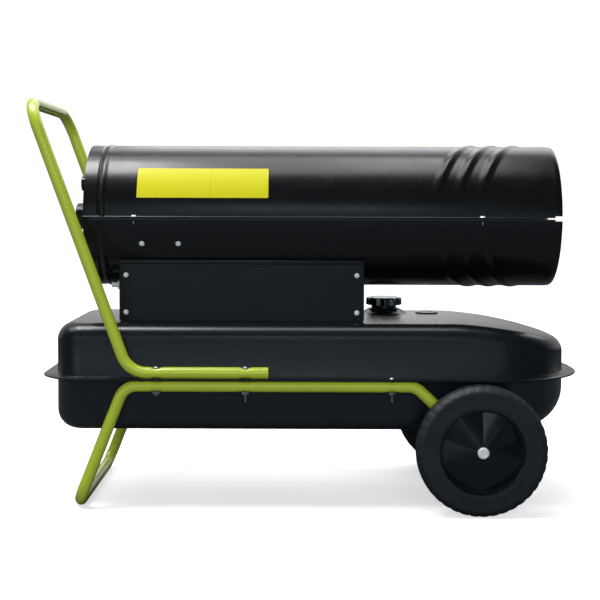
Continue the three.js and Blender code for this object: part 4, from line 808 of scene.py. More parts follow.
def cap_form():
    """The cap from the middle of its underside, out over the rim and back to the middle of its top."""
    bottom = TANK_TOP + CAP_LIFT
    top, ceiling = bottom + 13.5, bottom + 11.2
    turns = [2 * math.pi * k / 192 for k in range(192)]
    rings = []
    for radius, z in ((0.01, ceiling), (22.6, ceiling), (22.8, ceiling - 0.3), (22.8, bottom + 0.5),
                      (23.5, bottom)):
        rings.append([(radius, t, z) for t in turns])
    for inset, z, share in ((0, bottom, 1), (0, bottom + 0.4, 1), (0, bottom + 7, 1), (0.2, bottom + 10, 0.9),
                            (1.0, bottom + 12, 0.6), (2.4, bottom + 13.1, 0.3), (4.2, top, 0.1)):
        rings.append([(cap_radius(t, HOLLOW_DEPTH * share) - inset, t, z) for t in turns])
    for radius, z in ((24, top), (22.5, top - 0.6), (21.5, top - 1.4), (8, top - 1.4), (7, top - 1),
                      (0.01, top - 1)):
        rings.append([(radius, t, z) for t in turns])
    return skin([[(FILLER[0] + r * math.cos(t), FILLER[1] + r * math.sin(t), z) for r, t, z in ring]
                 for ring in rings])


cap = piece("filler_cap_pressing", cap_form(), CAP_METAL, "filler_cap", "fuel_cap", sharp=50)
print("cap faces:", len(cap.data.polygons))

# %% [markdown]
# ## Fuel gauge
# The gauge is a flat moulded capsule with tick marks round a clear window. Under the window a red pointer
# turns on a magnet disc. The ticks could be printed in a picture. Here they are thin raised bars, turned
# round the dial by a matrix, which keeps them sharp close up.

# %% Blocks and moves
def softened(low, high, radius=1.0, segments=3):
    """A block between two corners with rounded edges."""
    work = bmesh.new()
    bmesh.ops.create_cube(work, size=1)
    size = [h - l for l, h in zip(low, high)]
    middle = [(h + l) / 2 for l, h in zip(low, high)]
    bmesh.ops.scale(work, vec=size, verts=work.verts)
    bmesh.ops.translate(work, vec=middle, verts=work.verts)
    bmesh.ops.bevel(work, geom=list(work.edges), offset=radius, segments=segments, profile=0.5,
                    affect="EDGES")
    work.verts.index_update()
    form = [tuple(v.co) for v in work.verts], [[v.index for v in f.verts] for f in work.faces]
    work.free()
    return form


def moved(form, matrix):
    """A form put through a 4x4 matrix whose shift is in millimetres."""
    return [tuple(matrix @ Vector(p)) for p in form[0]], form[1]


print("faces of a softened block:", len(softened((0, 0, 0), (10, 10, 10))[1]))

# %% Gauge body and ticks
RIM_Z = TANK_TOP + SEAT
DIAL_Z = RIM_Z - 1.5
bezel = rounded([(0.01, -64.8), (5, -64.8), (5, -20.3), (16, -20.3), (16, 0), (20, 0), (20, 1.5), (19.2, 2),
                 (14.6, 2), (14.2, 1.6), (14.2, -6.8), (0.01, -6.8)],
                [0, 0, 0, 0, 0, 0.3, 0.6, 0.6, 0.3, 0.3, 0.2, 0], steps=4)
bezel = [(radius, RIM_Z + up) for radius, up in bezel]
FORK_LOW, FORK_HIGH = 212.4, 234.4
forks = [softened((GAUGE[0] + x, GAUGE[1] - 5, FORK_LOW), (GAUGE[0] + x + 5, GAUGE[1] + 5, FORK_HIGH), 0.8)
         for x in (-9, 4)]
piece("gauge_bezel", joined(lathe(bezel, "z", GAUGE), *forks), PLASTIC,
      stands_for="gauge_body")
ticks = []
for k in range(9):
    turn = math.radians(-90 + 22.5 * k)
    place = Matrix.Translation((GAUGE[0], GAUGE[1], RIM_Z + 2)) @ Matrix.Rotation(turn, 4, "Z")
    ticks.append(moved(softened((15.6, -0.3, -0.1), (18.4 if k % 4 else 19, 0.3, 0.05), 0.02, 1), place))
piece("gauge_ticks", joined(*ticks), DIAL)
print("ticks on the gauge:", len(ticks))

# %% Pointer and window
magnet = rounded([(0.01, -5), (13.3, -5), (13.3, 0), (0.01, 0)], [0, 0.4, 0.3, 0])
piece("needle_magnet", lathe([(radius, DIAL_Z + up) for radius, up in magnet], "z", GAUGE), ZINC, "needle",
      "gauge_needle")
card = [(0.01, -0.02), (12.9, -0.02), (12.9, 0.1), (0.01, 0.1)]
piece("needle_card", lathe([(radius, DIAL_Z + up) for radius, up in card], "z", GAUGE), DIAL, "needle")
arrow = rounded([(-4, -0.9), (9.6, -0.35), (10.2, 0), (9.6, 0.35), (-4, 0.9)], 0.2, closed=True)
boss = lathe([(0.01, 0.1), (2.4, 0.1), (2.4, 0.8), (2, 1), (0.01, 1)], "z", (0, 0, 0), 32)
on_dial = Matrix.Translation((GAUGE[0], GAUGE[1], DIAL_Z))
piece("needle_pointer", moved(joined(prism(arrow, 0.15, 0.6), boss), on_dial), RED, "needle")
window = [(0.01, 1.9), (13.7, 1.9), (13.9, 2.1), (13.9, 3), (13.6, 3.1), (0.01, 3.1)]
piece("gauge_window", lathe([(radius, DIAL_Z + up) for radius, up in window], "z", GAUGE), CLEAR,
      stands_for="gauge_lens")
print("the dial lies at", round(DIAL_Z, 2), "mm")

# %% [markdown]
# ## Control box covers
# Each cover is one sheet with its ends bent round the box, held by four screws. The far one has a hole
# for the thermostat's spindle and one for the power switch. A solid block would look the same from the
# side, but the folded sheet shows its thickness and its bend at the ends.

# %% Covers
BOX_REAR, BOX_FRONT, COVER_FACE, BEND_END = -301.4, 95.4, 96, 89.5
BOX_TOP = BARREL_Z - math.sqrt(BARREL_R ** 2 - COVER_FACE ** 2) - 4.7
KNOB_X, SWITCH_X, CONTROLS_Z = -235, -165, 347.4


def cover_form(side):
    """A cover: a sheet bent round the box at both ends, with a plain band along its top edge."""
    outer, inner = COVER_FACE, COVER_FACE - SHEET
    rear, front = BOX_REAR - SHEET - SEAT, BOX_FRONT + SHEET + SEAT
    path = rounded([(rear, BEND_END), (rear, outer), (front, outer), (front, BEND_END)], [0, 1.8, 1.8, 0])
    back = rounded([(BOX_FRONT + SEAT, BEND_END), (BOX_FRONT + SEAT, inner), (BOX_REAR - SEAT, inner),
                    (BOX_REAR - SEAT, BEND_END)], [0, 0.6, 0.6, 0])
    rings = []
    low = TANK_TOP + 1.9
    for inset, z in ((0.4, low), (0, low + 0.4), (0, BOX_TOP - 6.4)):
        rings.append([(x, side * (y - inset * (y > inner + 0.1)), z) for x, y in path + back])
    body = skin(rings, ends=True)
    plate = softened((rear, min(side * outer, side * inner), BOX_TOP - 7.5),
                     (front, max(side * outer, side * inner), BOX_TOP), 0.45, 2)
    return joined(body, plate)


piece("cover_near", cover_form(-1), COVER, stands_for="side_cover_near")
far_cover = piece("cover_far", cover_form(1), COVER, stands_for="side_cover_far")
cut_away(far_cover, lathe([(0, 92), (3.3, 92), (3.3, 98), (0, 98)], "y", (KNOB_X, 0, CONTROLS_Z)),
         softened((SWITCH_X - 10.3, 92, CONTROLS_Z - 15.3), (SWITCH_X + 10.3, 98, CONTROLS_Z + 15.3), 0.5, 1))
print("cover top at", round(BOX_TOP, 1), "mm")

# %% [markdown]
# ## Screws and bolts
# The screws are zinc-plated pan heads with a cross recess. The frame bolts have round heads, and their
# thread shows below the nuts. A bolt's thread could be a bump, but it shows in the outline under the
# flange, so it is a ridge that climbs round the core. The screws are alike, so one mesh is shared by all
# but the one on top of the barrel, which has a copy of it in plain steel.

# %% Screws
def screw_template():
    """The mesh that all screws share: a pan head with a cross cut into it."""
    head = [(0.01, 0), (3.6, 0), (3.75, 0.3), (3.5, 1.1), (2.7, 1.9), (1.5, 2.3), (0.01, 2.4)]
    template = piece("screw_template", lathe(head, "z", (0, 0, 0), 40), PASSIVATED)
    cut_away(template, softened((-2.3, -0.6, 0.9), (2.3, 0.6, 3), 0.1, 1),
             softened((-0.6, -2.3, 0.9), (0.6, 2.3, 3), 0.1, 1))
    data = template.data
    data.transform(Matrix.Translation((MIDDLE * MM, 0, 0)))
    bpy.data.objects.remove(template)
    return data


SCREW = screw_template()
SCREWS = []


def screw(at, facing, turn=0.0, scale=1.0, look=None):
    """A screw head seated at a point in millimetres, facing along a direction."""
    mesh = SCREW
    if look is not None:
        mesh = SCREW.copy()
        mesh.materials.clear()
        mesh.materials.append(look)
    made = bpy.data.objects.new(f"screw_{len(SCREWS) + 1:02d}", mesh)
    bpy.context.scene.collection.objects.link(made)
    swing = Vector(facing).to_track_quat("Z", "Y").to_matrix().to_4x4()
    place = (Vector(at) - Vector((MIDDLE, 0, 0))) * MM
    made.matrix_world = (Matrix.Translation(place) @ swing @ Matrix.Rotation(math.radians(turn), 4, "Z")
                         @ Matrix.Scale(scale, 4))
    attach(made, "chassis")
    SCREWS.append(made)


print("faces of a screw head:", len(SCREW.polygons))

# %% Screws in their places
COVER_SCREW_XS, COVER_SCREW_ZS = (-291.7, 84.9), (371, 309.9)
SEAM_SCREW_XS, SEAM_SCREW_Y = (-275.5, 285.1), 122.3
SHELL_SCREW_XS, SHELL_SCREW_DOWN = (-264.4, -205.4), math.radians(21.4)
NUT_LINE = [(1.4, -1.5), (3.6, -1.5), (3.8, -1.8), (3.8, -3.6), (3.3, -4), (1.6, -4), (1.4, -3.6)]
STEM_LINE = [(0.01, -1), (1.6, -1), (1.6, -10.2), (0.9, -11.2), (0.01, -11.2)]
for side in (-1, 1):
    for x in COVER_SCREW_XS:
        for z in COVER_SCREW_ZS:
            screw((x, side * COVER_FACE, z), (0, side, 0), turn=x + z, scale=1.15)
    for x in SEAM_SCREW_XS:
        screw((x, side * SEAM_SCREW_Y, BARREL_Z + SEAT / 2 + SHEET), (0, 0, 1), turn=x, scale=1.25)
        seam = (x, side * SEAM_SCREW_Y, BARREL_Z)
        word = f"{'near' if side < 0 else 'far'}_{'rear' if x < 0 else 'front'}"
        nut_and_stem = joined(lathe(NUT_LINE, "z", seam, 6), lathe(STEM_LINE, "z", seam, 20))
        piece(f"seam_nut_{word}", nut_and_stem, ZINC)
    for x in SHELL_SCREW_XS:
        face = (0, side * math.cos(SHELL_SCREW_DOWN), -math.sin(SHELL_SCREW_DOWN))
        screw((x, BARREL_R * face[1], BARREL_Z + BARREL_R * face[2]), face, turn=3 * x, scale=1.2)
screw((BARREL_REAR + 4.8, 0, BARREL_Z + RISE * BARREL_R), (0, 0, 1), turn=20, scale=0.8, look=STEEL)
print("screws:", len(SCREWS))


# %% Bolt and nut forms
def hexagon(radius, shift):
    return [(radius * math.cos(math.radians(60 * k + shift)), radius * math.sin(math.radians(60 * k + shift)))
            for k in range(6)]


def bolt_form(x, y, head_z, tail_z, nut_top):
    """A bolt with a washer head, and a thread of 1 mm pitch from its tail up into the nut."""
    head_line = [(0.01, 0), (6.4, 0), (6.4, 0.6), (5.4, 0.9), (5.2, 1.6), (4.4, 2.3), (2.6, 2.6), (0.01, 2.6)]
    head = lathe([(radius, head_z + up) for radius, up in head_line], "z", (x, y, 0), 36)
    thread = []
    sides = 24
    for k in range(int((nut_top - 2 - tail_z) * sides)):
        turn = 2 * math.pi * k / sides
        z = tail_z + 0.6 + k / sides
        ring = []
        for r, dz in ((2.45, 0), (3.0, 0.45), (3.0, 0.55), (2.45, 1.0)):
            ring.append((x + r * math.cos(turn), y + r * math.sin(turn), z + dz))
        thread.append(ring)
    core = lathe([(0.01, tail_z), (2.0, tail_z), (2.55, tail_z + 0.6), (2.55, head_z), (0.01, head_z)], "z",
                 (x, y, 0), 24)
    return joined(head, core, skin(thread, around=False))


def nut_form(x, y, top):
    """A hexagon nut, chamfered at both faces."""
    outline = hexagon(6.35, 30)
    rings = []
    for scale, down in ((0.8, 0), (0.9, 0.1), (1, 0.8), (1, 4.2), (0.9, 4.9), (0.55, 5)):
        rings.append([(x + scale * a, y + scale * b, top - down) for a, b in outline])
    return skin(rings, ends=True)


print("faces of a nut:", len(nut_form(0, 0, 0)[1]))

# %% Frame bolts
BOLT_TAILS = (2.5, 11, 11)
NUT_TOP, NUT_HEIGHT = FRAME_Z - TUBE_FLAT - SEAT, 5
for k, x in enumerate(BOLT_XS):
    through_handle = k < 2
    if through_handle:
        head_z = HANDLE_Z + TUBE_FLAT + SEAT - 1.2    # its tube is pinched by this much
    else:
        head_z = UPPER_FLANGE + SHEET + SEAT
    tail = NUT_TOP - NUT_HEIGHT - BOLT_TAILS[k]
    for word, side in (("near", -1), ("far", 1)):
        piece(f"bolt_{word}_{k + 1}", bolt_form(x, side * TUBE_Y, head_z, tail, NUT_TOP), ZINC,
              stands_for=f"frame_bolt_{word}_{k + 1}")
        piece(f"nut_{word}_{k + 1}", nut_form(x, side * TUBE_Y, NUT_TOP + 0.8), ZINC,
              stands_for=f"frame_nut_{word}_{k + 1}", sharp=20)
print("bolts:", 2 * len(BOLT_XS))

# %% [markdown]
# ## Labels
# The stickers lie on the upper shell as curved sheets a tenth of a millimetre thick. They could be
# projected from flat planes, but angles on the shell put them there directly. They are plain yellow, and
# the near one has a fine dividing line.

# %% Curved stickers
def on_shell(x, degrees, out):
    """A point over the upper shell, at an angle above the near seam."""
    radius = BARREL_R + out
    turn = math.radians(degrees)
    return (x, -radius * math.cos(turn), BARREL_Z + RISE * radius * math.sin(turn))


def sticker(x0, x1, low, high, out=0.12, corner=1.6):
    """A sticker between two places along the barrel and two angles above the near seam."""
    arc = BARREL_R * math.radians(high - low)
    outline = rounded([(x0, 0), (x1, 0), (x1, arc), (x0, arc)], corner, closed=True)
    grid = []
    margin = min(2, (x1 - x0) / 4)
    xs = sorted({round(x, 3) for x, _ in outline} | set(np.linspace(x0 + margin, x1 - margin, 16).round(3)))
    rows = 20
    for x in xs:
        inset = 0.0
        for edge in (x - x0, x1 - x):
            if edge < corner:
                inset = max(inset, corner - math.sqrt(max(0, corner ** 2 - (corner - edge) ** 2)))
        line = []
        for k in range(rows + 1):
            along = inset + (arc - 2 * inset) * k / rows
            line.append(on_shell(x, low + math.degrees(along / BARREL_R), out))
        for k in range(rows, -1, -1):
            along = inset + (arc - 2 * inset) * k / rows
            line.append(on_shell(x, low + math.degrees(along / BARREL_R), 0.02))
        grid.append(line)
    return skin(grid, ends=True)


# %% Labels in place
LABEL_REAR, LABEL_FRONT, LABEL_LOW, LABEL_HIGH = -272.4, -59.6, 15.5, 41.7
LINE_X, LINE_WIDTH = -153.5, 0.4
line_form = sticker(LINE_X, LINE_X + LINE_WIDTH, LABEL_LOW + 0.9, LABEL_HIGH - 0.9, out=0.16, corner=0.1)
piece("label_side", sticker(LABEL_REAR, LABEL_FRONT, LABEL_LOW, LABEL_HIGH), YELLOW, sharp=60)
piece("label_line", line_form, OLIVE, sharp=60)
piece("label_top", sticker(166, 248, 84, 96), YELLOW, sharp=60)
print("the near label is", round(LABEL_FRONT - LABEL_REAR, 1), "mm long")

# %% [markdown]
# ## Inlet end
# A guard of wire rings lies over the fan. In its middle sit the pump's cast end cover, its moulded filter
# cover with finger ribs, and a small pressure gauge. Everything there is round, so it is all turned from
# outlines. A screw modifier would do the same, but the ribs of the filter cover need a section that
# changes as it turns.

# %% Wire guard
GUARD_X, GUARD_INNER, GUARD_OUTER = -350.9, 74, BARREL_R - 2
guard_wires = []
for radius, wire in ((75.5, 1.4), (85, 1.1), (94, 1.1), (103, 1.1), (112.3, 1.4)):
    section = [(radius + wire * math.cos(t), GUARD_X + wire * math.sin(t))
               for t in (2 * math.pi * k / 12 for k in range(13))]
    guard_wires.append(lathe(section, "x", (0, 0, BARREL_Z), 96))
for k in range(6):
    turn = math.radians(60 * (k + 0.5))
    line = [Vector((GUARD_X - 1, radius * math.sin(turn), BARREL_Z + radius * math.cos(turn)))
            for radius in (GUARD_INNER, GUARD_OUTER)]
    guard_wires.append(swept(line, 1.2, 12))
piece("guard_wires", joined(*guard_wires), ZINC, stands_for="inlet_guard", sharp=60)
print("guard wires:", len(guard_wires))

# %% Filter cover
FILTER_FRONT = -356.6
cover_rings = []
for k in range(180):
    turn = 2 * math.pi * k / 180
    grip = 0.9 * max(0, math.cos(12 * turn)) ** 0.5
    profile = [(0.01, FILTER_FRONT - 29.6), (9, FILTER_FRONT - 29.6), (10, FILTER_FRONT - 30.6),
               (18.5, FILTER_FRONT - 31.6), (20.4, FILTER_FRONT - 30.9), (21.1 + grip, FILTER_FRONT - 29),
               (21.1 + grip, FILTER_FRONT - 6), (21.9, FILTER_FRONT - 5), (21.9, FILTER_FRONT),
               (20, FILTER_FRONT), (20, FILTER_FRONT - 27), (0.01, FILTER_FRONT - 27)]
    cover_rings.append([(x, r * math.cos(turn), BARREL_Z + r * math.sin(turn)) for r, x in profile])
piece("filter_cap", skin(cover_rings, around=False, along=True), PLASTIC,
      stands_for="filter_cover", sharp=40)
FELT_OUT, FELT_IN = FILTER_FRONT - 27.9, FILTER_FRONT - 14.4
felt = lathe([(0.01, FELT_OUT), (19.5, FELT_OUT), (19.5, FELT_IN), (0.01, FELT_IN)], "x", (0, 0, BARREL_Z))
piece("filter_felt", felt, DARK_FELT)
print("the filter cover's end is at", round(FILTER_FRONT - 31.6, 1), "mm")

# %% Pressure gauge
gauge_at = (0, 0, BARREL_Z + 55.6)
FACE_X = -378.5
case = rounded([(0.01, -362), (12.4, -362), (12.4, -379.6), (10.9, -379.6), (10.9, -378.4), (0.01, -378.4)],
               [0, 1.5, 0.8, 0.4, 0.1, 0], steps=4)
stem = lathe([(0.01, FILTER_FRONT), (5.6, FILTER_FRONT), (5.6, FILTER_FRONT - 3), (4, FILTER_FRONT - 3.4),
              (4, FILTER_FRONT - 5.6), (0.01, FILTER_FRONT - 5.6)], "x", gauge_at, 6)
piece("gauge_case", joined(lathe(case, "x", gauge_at), stem), PLASTIC,
      stands_for="pressure_gauge")
piece("gauge_face", lathe([(0.01, FACE_X), (10.8, FACE_X), (10.8, FACE_X + 0.2), (0.01, FACE_X + 0.2)], "x",
                          gauge_at), DIAL)
marks = []
for k in range(11):
    spin = Matrix.Translation(gauge_at) @ Matrix.Rotation(math.radians(-135 + 27 * k), 4, "X")
    inner = 7.2 if k % 5 else 6.2
    marks.append(moved(softened((FACE_X - 0.2, -0.2, inner), (FACE_X, 0.2, 9.6), 0.04, 1), spin))
needle = moved(softened((FACE_X - 0.6, -0.35, -2.5), (FACE_X - 0.3, 0.35, 8.4), 0.08, 1),
               Matrix.Translation(gauge_at) @ Matrix.Rotation(math.radians(-118), 4, "X"))
hub = lathe([(0.01, FACE_X), (1.4, FACE_X), (1.4, FACE_X - 0.7), (0.01, FACE_X - 0.8)], "x", gauge_at, 24)
piece("gauge_marks", joined(*marks, needle, hub), INK)
print("marks on the pressure gauge:", len(marks))

# %% Pump cover and its screws
PUMP_OUT, PUMP_IN, PUMP_RECESS = -356.3, -341.3, -354.6
pump_line = rounded([(0.01, PUMP_OUT), (24, PUMP_OUT), (25, PUMP_RECESS), (46, PUMP_RECESS), (50, PUMP_OUT),
                     (56, -350), (56, PUMP_IN), (0.01, PUMP_IN)], [0, 0.5, 1, 1, 2, 1.5, 0.5, 0])
boss = rounded([(0.01, PUMP_OUT), (14.5, PUMP_OUT), (14.5, PUMP_IN), (0.01, PUMP_IN)], [0, 1, 0.5, 0])
pump_cover = joined(lathe(pump_line, "x", (0, 0, BARREL_Z)), lathe(boss, "x", gauge_at, 40))
piece("pump_end_cover", pump_cover, ALLOY, stands_for="pump_cover")
for k in range(6):
    turn = math.radians(60 * k + 30)
    at = (PUMP_RECESS, 36 * math.sin(turn), BARREL_Z + 36 * math.cos(turn))
    screw(at, (-1, 0, 0), turn=40 * k, scale=1.1)
print("screws:", len(SCREWS))

# %% [markdown]
# ## Hot end
# The combustion chamber is a rolled steel tube with air holes, and its mouth is drawn in round a baffle
# plate on a cross of two strips. Heat has tinted the bare steel brown and blue. The air holes could be
# left out, as little of them shows, but light that falls in through the mouth picks them out, so they are
# cut.

# %% Chamber
CHAMBER_R, CHAMBER_REAR, CHAMBER_FRONT = 88, -106, 372
ON_AXIS = Matrix.Translation((0, 0, BARREL_Z))
chamber_line = [(CHAMBER_R - SHEET, CHAMBER_REAR), (CHAMBER_R, CHAMBER_REAR), (CHAMBER_R, CHAMBER_FRONT),
                (CHAMBER_R - SHEET, CHAMBER_FRONT), (CHAMBER_R - SHEET, CHAMBER_REAR)]
chamber = piece("chamber_tube", lathe(chamber_line, "x", (0, 0, BARREL_Z), 96), HOT,
                stands_for="combustion_chamber", sharp=50)
drills = []
for x in (-60, 300):
    for k in range(7):
        spin = ON_AXIS @ Matrix.Rotation(math.radians(-360 * (k + 0.5) / 7), 4, "X")
        drills.append(moved(lathe([(0.01, 80), (7, 80), (7, 95), (0.01, 95)], "z", (x, 0, 0), 28), spin))
cut_away(chamber, joined(*drills))
feet = []
for x in (-50, 330):
    for side in (-45, 45):
        spin = ON_AXIS @ Matrix.Rotation(math.radians(side), 4, "X")
        feet.append(moved(softened((x - 11, -7, -113.6), (x + 11, 7, -87.5), 1), spin))
piece("chamber_feet", joined(*feet), HOT)
print("air holes:", len(drills))

# %% Baffle
CONE_R, CONE_REAR, CONE_FRONT = CHAMBER_R - SHEET - SEAT, CHAMBER_FRONT - 20, 396
cone = rounded([(CONE_R, CONE_REAR), (CONE_R, CHAMBER_FRONT), (60, CONE_FRONT), (58.8, CONE_FRONT - 0.6),
                (CONE_R - SHEET, CHAMBER_FRONT - 0.6), (CONE_R - SHEET, CONE_REAR)],
               [0, 2, 0.4, 0.4, 2, 0], steps=4)
plate = rounded([(0.01, CONE_FRONT - SHEET), (37.5, CONE_FRONT - SHEET), (38, CONE_FRONT - SHEET / 2),
                 (37.5, CONE_FRONT), (0.01, CONE_FRONT)], [0, 0.3, 0.3, 0.3, 0])
bars = []
for k in (0, 1):
    spin = ON_AXIS @ Matrix.Rotation(math.radians(90 * k), 4, "X")
    bars.append(moved(softened((CONE_FRONT - 2.4, -5, -60), (CONE_FRONT - 0.6, 5, 60), 0.5), spin))
cone_form = lathe(cone + cone[:1], "x", (0, 0, BARREL_Z), 96)
plate_form = lathe(plate, "x", (0, 0, BARREL_Z), 72)
baffle = piece("baffle", joined(cone_form, plate_form, *bars), HOT,
               stands_for="outlet_baffle")
print("baffle faces:", len(baffle.data.polygons))

# %% [markdown]
# ## Controls
# The far cover carries the thermostat knob, a moulded disc with fine ribs and a raised grip with a white
# line. The ribs could be an array of small blocks. Here the turned outline steps in and out as it goes
# round. The power switch beside it keeps its CAD form.

# %% Knob
FACE_Y = COVER_FACE + SEAT
knob_rings = []
for k in range(144):
    turn = 2 * math.pi * k / 144
    rib = 0.3 * (math.cos(24 * turn) > 0)
    profile = [(0.01, FACE_Y - 12), (3, FACE_Y - 12), (3, FACE_Y), (16.6, FACE_Y), (17, FACE_Y + 0.6),
               (17, FACE_Y + 2.4), (16.2, FACE_Y + 3), (15.8 + rib, FACE_Y + 3.4),
               (15.2 + rib, FACE_Y + 10), (14, FACE_Y + 11), (0.01, FACE_Y + 11)]
    knob_rings.append([(KNOB_X + r * math.cos(turn), y, CONTROLS_Z + r * math.sin(turn)) for r, y in profile])
grip = softened((KNOB_X - 2.2, FACE_Y + 9, CONTROLS_Z - 15), (KNOB_X + 2.2, FACE_Y + 16, CONTROLS_Z + 15),
                1.2)
piece("knob_body", joined(skin(knob_rings, around=False, along=True), grip), PLASTIC, "thermostat",
      "thermostat_knob")
mark = softened((KNOB_X - 0.5, FACE_Y + 15.4, CONTROLS_Z + 4),
                (KNOB_X + 0.5, FACE_Y + 16.15, CONTROLS_Z + 14), 0.05, 1)
piece("knob_line", mark, DIAL, "thermostat")
print("knob at", KNOB_X, "mm")

# %% [markdown]
# ## Carried-over CAD pieces
# The box, the axle, the motor, the fan and the small parts have the right form as they are. They could
# all be built again here, but little would be gained, so they keep their CAD mesh. They get the finish
# that the real part has, and a bevel that breaks their sharp edges as tooling or a file would.

# %% Finishes of the CAD nodes
KEPT = {
    "control_box": COVER, "burner_head": STEEL, "motor_bracket": STEEL, "motor_shaft": STEEL,
    "pump_rotor": STEEL, "motor_housing": ALLOY, "pump_body": ALLOY, "fan": ALLOY, "photocell": PLASTIC,
    "switch_bezel": PLASTIC, "fuel_strainer": PLASTIC, "ignition_transformer": PLASTIC, "cap_gasket": SOFT,
    "fuel_line": SOFT, "axle": ZINC, "cord_gland": DIAL, "fuel_nozzle": BRASS, "fuel_pickup": BRASS,
    "air_line": BRASS, "gauge_float": BRASS, "spark_plug": CERAMIC, "circuit_board": BOARD,
    "power_switch": RED,
}
for name, look in KEPT.items():
    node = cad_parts[name]
    node.data.materials.clear()
    node.data.materials.append(look)
    edges = node.modifiers.new("broken_edges", "BEVEL")
    edges.width = 0.25 * MM
    edges.segments = 2
    edges.limit_method = "ANGLE"
    edges.angle_limit = math.radians(40)
print("CAD nodes kept:", len(KEPT))

# %% [markdown]
# ## Floor
# The photograph is a product shot on white. A floor that is really white would also light the paint from
# below and turn it grey, so only the camera sees it white, with the heater's faint shadow on it. It fades
# to pure white away from the middle, where it meets the background.

# %% Floor that only the camera sees white
def stage_plane(name, size, look):
    """A level square under the heater that belongs to the studio."""
    mesh = bpy.data.meshes.new(name)
    h = size / 2
    mesh.from_pydata([(-h, -h, 0), (h, -h, 0), (h, h, 0), (-h, h, 0)], [], [(0, 1, 2, 3)])
    made = bpy.data.objects.new(name, mesh)
    bpy.context.scene.collection.objects.link(made)
    mesh.materials.append(look)


def seen_directly(tree, path):
    """1 for what the camera sees, straight or through a clear window."""
    either = tree.nodes.new("ShaderNodeMath")
    either.operation = "MAXIMUM"
    tree.links.new(path.outputs["Is Camera Ray"], either.inputs[0])
    tree.links.new(path.outputs["Is Transmission Ray"], either.inputs[1])
    return either.outputs[0]


def floor_finish():
    """White to the camera but for a faint shadow, and dark in gloss and in the light that it throws back."""
    material = bpy.data.materials.new("floor_white")
    material.use_nodes = True
    tree = material.node_tree
    tree.nodes.clear()
    out = tree.nodes.new("ShaderNodeOutputMaterial")
    path = tree.nodes.new("ShaderNodeLightPath")
    pick = tree.nodes.new("ShaderNodeMixShader")
    seen = tree.nodes.new("ShaderNodeAddShader")
    white = tree.nodes.new("ShaderNodeBsdfDiffuse")
    white.inputs["Color"].default_value = (0.9, 0.9, 0.9, 1)
    place = tree.nodes.new("ShaderNodeTexCoord")
    away = tree.nodes.new("ShaderNodeVectorMath")
    away.operation = "LENGTH"
    tree.links.new(place.outputs["Object"], away.inputs[0])
    glow = tree.nodes.new("ShaderNodeEmission")
    tree.links.new(spread(tree, away.outputs["Value"], 0.55, 1.0, 0.5, 1.6), glow.inputs["Strength"])
    dim = tree.nodes.new("ShaderNodeBsdfDiffuse")
    dim.inputs["Color"].default_value = (0.11, 0.12, 0.135, 1)
    gloss = tree.nodes.new("ShaderNodeBsdfDiffuse")
    gloss.inputs["Color"].default_value = (0.10, 0.11, 0.125, 1)
    thrown = tree.nodes.new("ShaderNodeMixShader")
    tree.links.new(path.outputs["Is Glossy Ray"], thrown.inputs[0])
    tree.links.new(dim.outputs[0], thrown.inputs[1])
    tree.links.new(gloss.outputs[0], thrown.inputs[2])
    tree.links.new(white.outputs[0], seen.inputs[0])
    tree.links.new(glow.outputs[0], seen.inputs[1])
    tree.links.new(seen_directly(tree, path), pick.inputs[0])
    tree.links.new(thrown.outputs[0], pick.inputs[1])
    tree.links.new(seen.outputs[0], pick.inputs[2])
    tree.links.new(pick.outputs[0], out.inputs[0])
    return material


FLOOR_SIDE = 30
stage_plane("floor", FLOOR_SIDE, floor_finish())
print("floor side in metres:", FLOOR_SIDE)

# %% [markdown]
# ## Background
# The world is white to the camera too. In the gloss it is a room that is brighter in the middle of its
# far side, and darker and a little blue on the camera's side, as the paint shows in the photograph. A
# picture of a studio could stand here, but two gradients are enough and need no file.

# %% Background
COOL = (0.66, 0.84, 1.0)
world = bpy.data.worlds.new("studio")
bpy.context.scene.world = world
world.use_nodes = True
tree = world.node_tree
tree.nodes.clear()
out = tree.nodes.new("ShaderNodeOutputWorld")
path = tree.nodes.new("ShaderNodeLightPath")
pick = tree.nodes.new("ShaderNodeMixShader")
place = tree.nodes.new("ShaderNodeTexCoord")
apart = tree.nodes.new("ShaderNodeSeparateXYZ")
tree.links.new(place.outputs["Generated"], apart.inputs[0])
behind = spread(tree, apart.outputs["Y"], 0, 1, 0.1, 0.6)
aside = tree.nodes.new("ShaderNodeMath")
aside.operation = "ABSOLUTE"
tree.links.new(apart.outputs["X"], aside.inputs[0])
level = tree.nodes.new("ShaderNodeMath")
level.operation = "MULTIPLY"
tree.links.new(spread(tree, apart.outputs["Y"], 0.08, 1.05, 0.1, 0.6), level.inputs[0])
tree.links.new(spread(tree, aside.outputs[0], 1, 0.5, 0.10, 0.25), level.inputs[1])
room = tree.nodes.new("ShaderNodeBackground")
tree.links.new(mixed(tree, behind, COOL + (1,), (1, 1, 1, 1)), room.inputs["Color"])
tree.links.new(level.outputs[0], room.inputs["Strength"])
white = tree.nodes.new("ShaderNodeBackground")
white.inputs["Color"].default_value = (1, 1, 1, 1)
white.inputs["Strength"].default_value = 1.05
tree.links.new(seen_directly(tree, path), pick.inputs[0])
tree.links.new(room.outputs[0], pick.inputs[1])
tree.links.new(white.outputs[0], pick.inputs[2])
tree.links.new(pick.outputs[0], out.inputs[0])
print("background nodes:", len(tree.nodes))

# %% [markdown]
# ## Lights
# A black gloss shows its lamps more than its colour, so each lamp is placed for what the paint mirrors. A
# long softbox overhead draws the highlight along the barrel, with a stronger patch over the inlet end and
# a weak one over the outlet, and a panel behind lights the tank's top. In front stand a low strip, a high
# panel and one at the left. The wide front fill lights the colours without showing in the gloss. One
# large lamp would be simpler, but it would put a single flat sheen over everything.

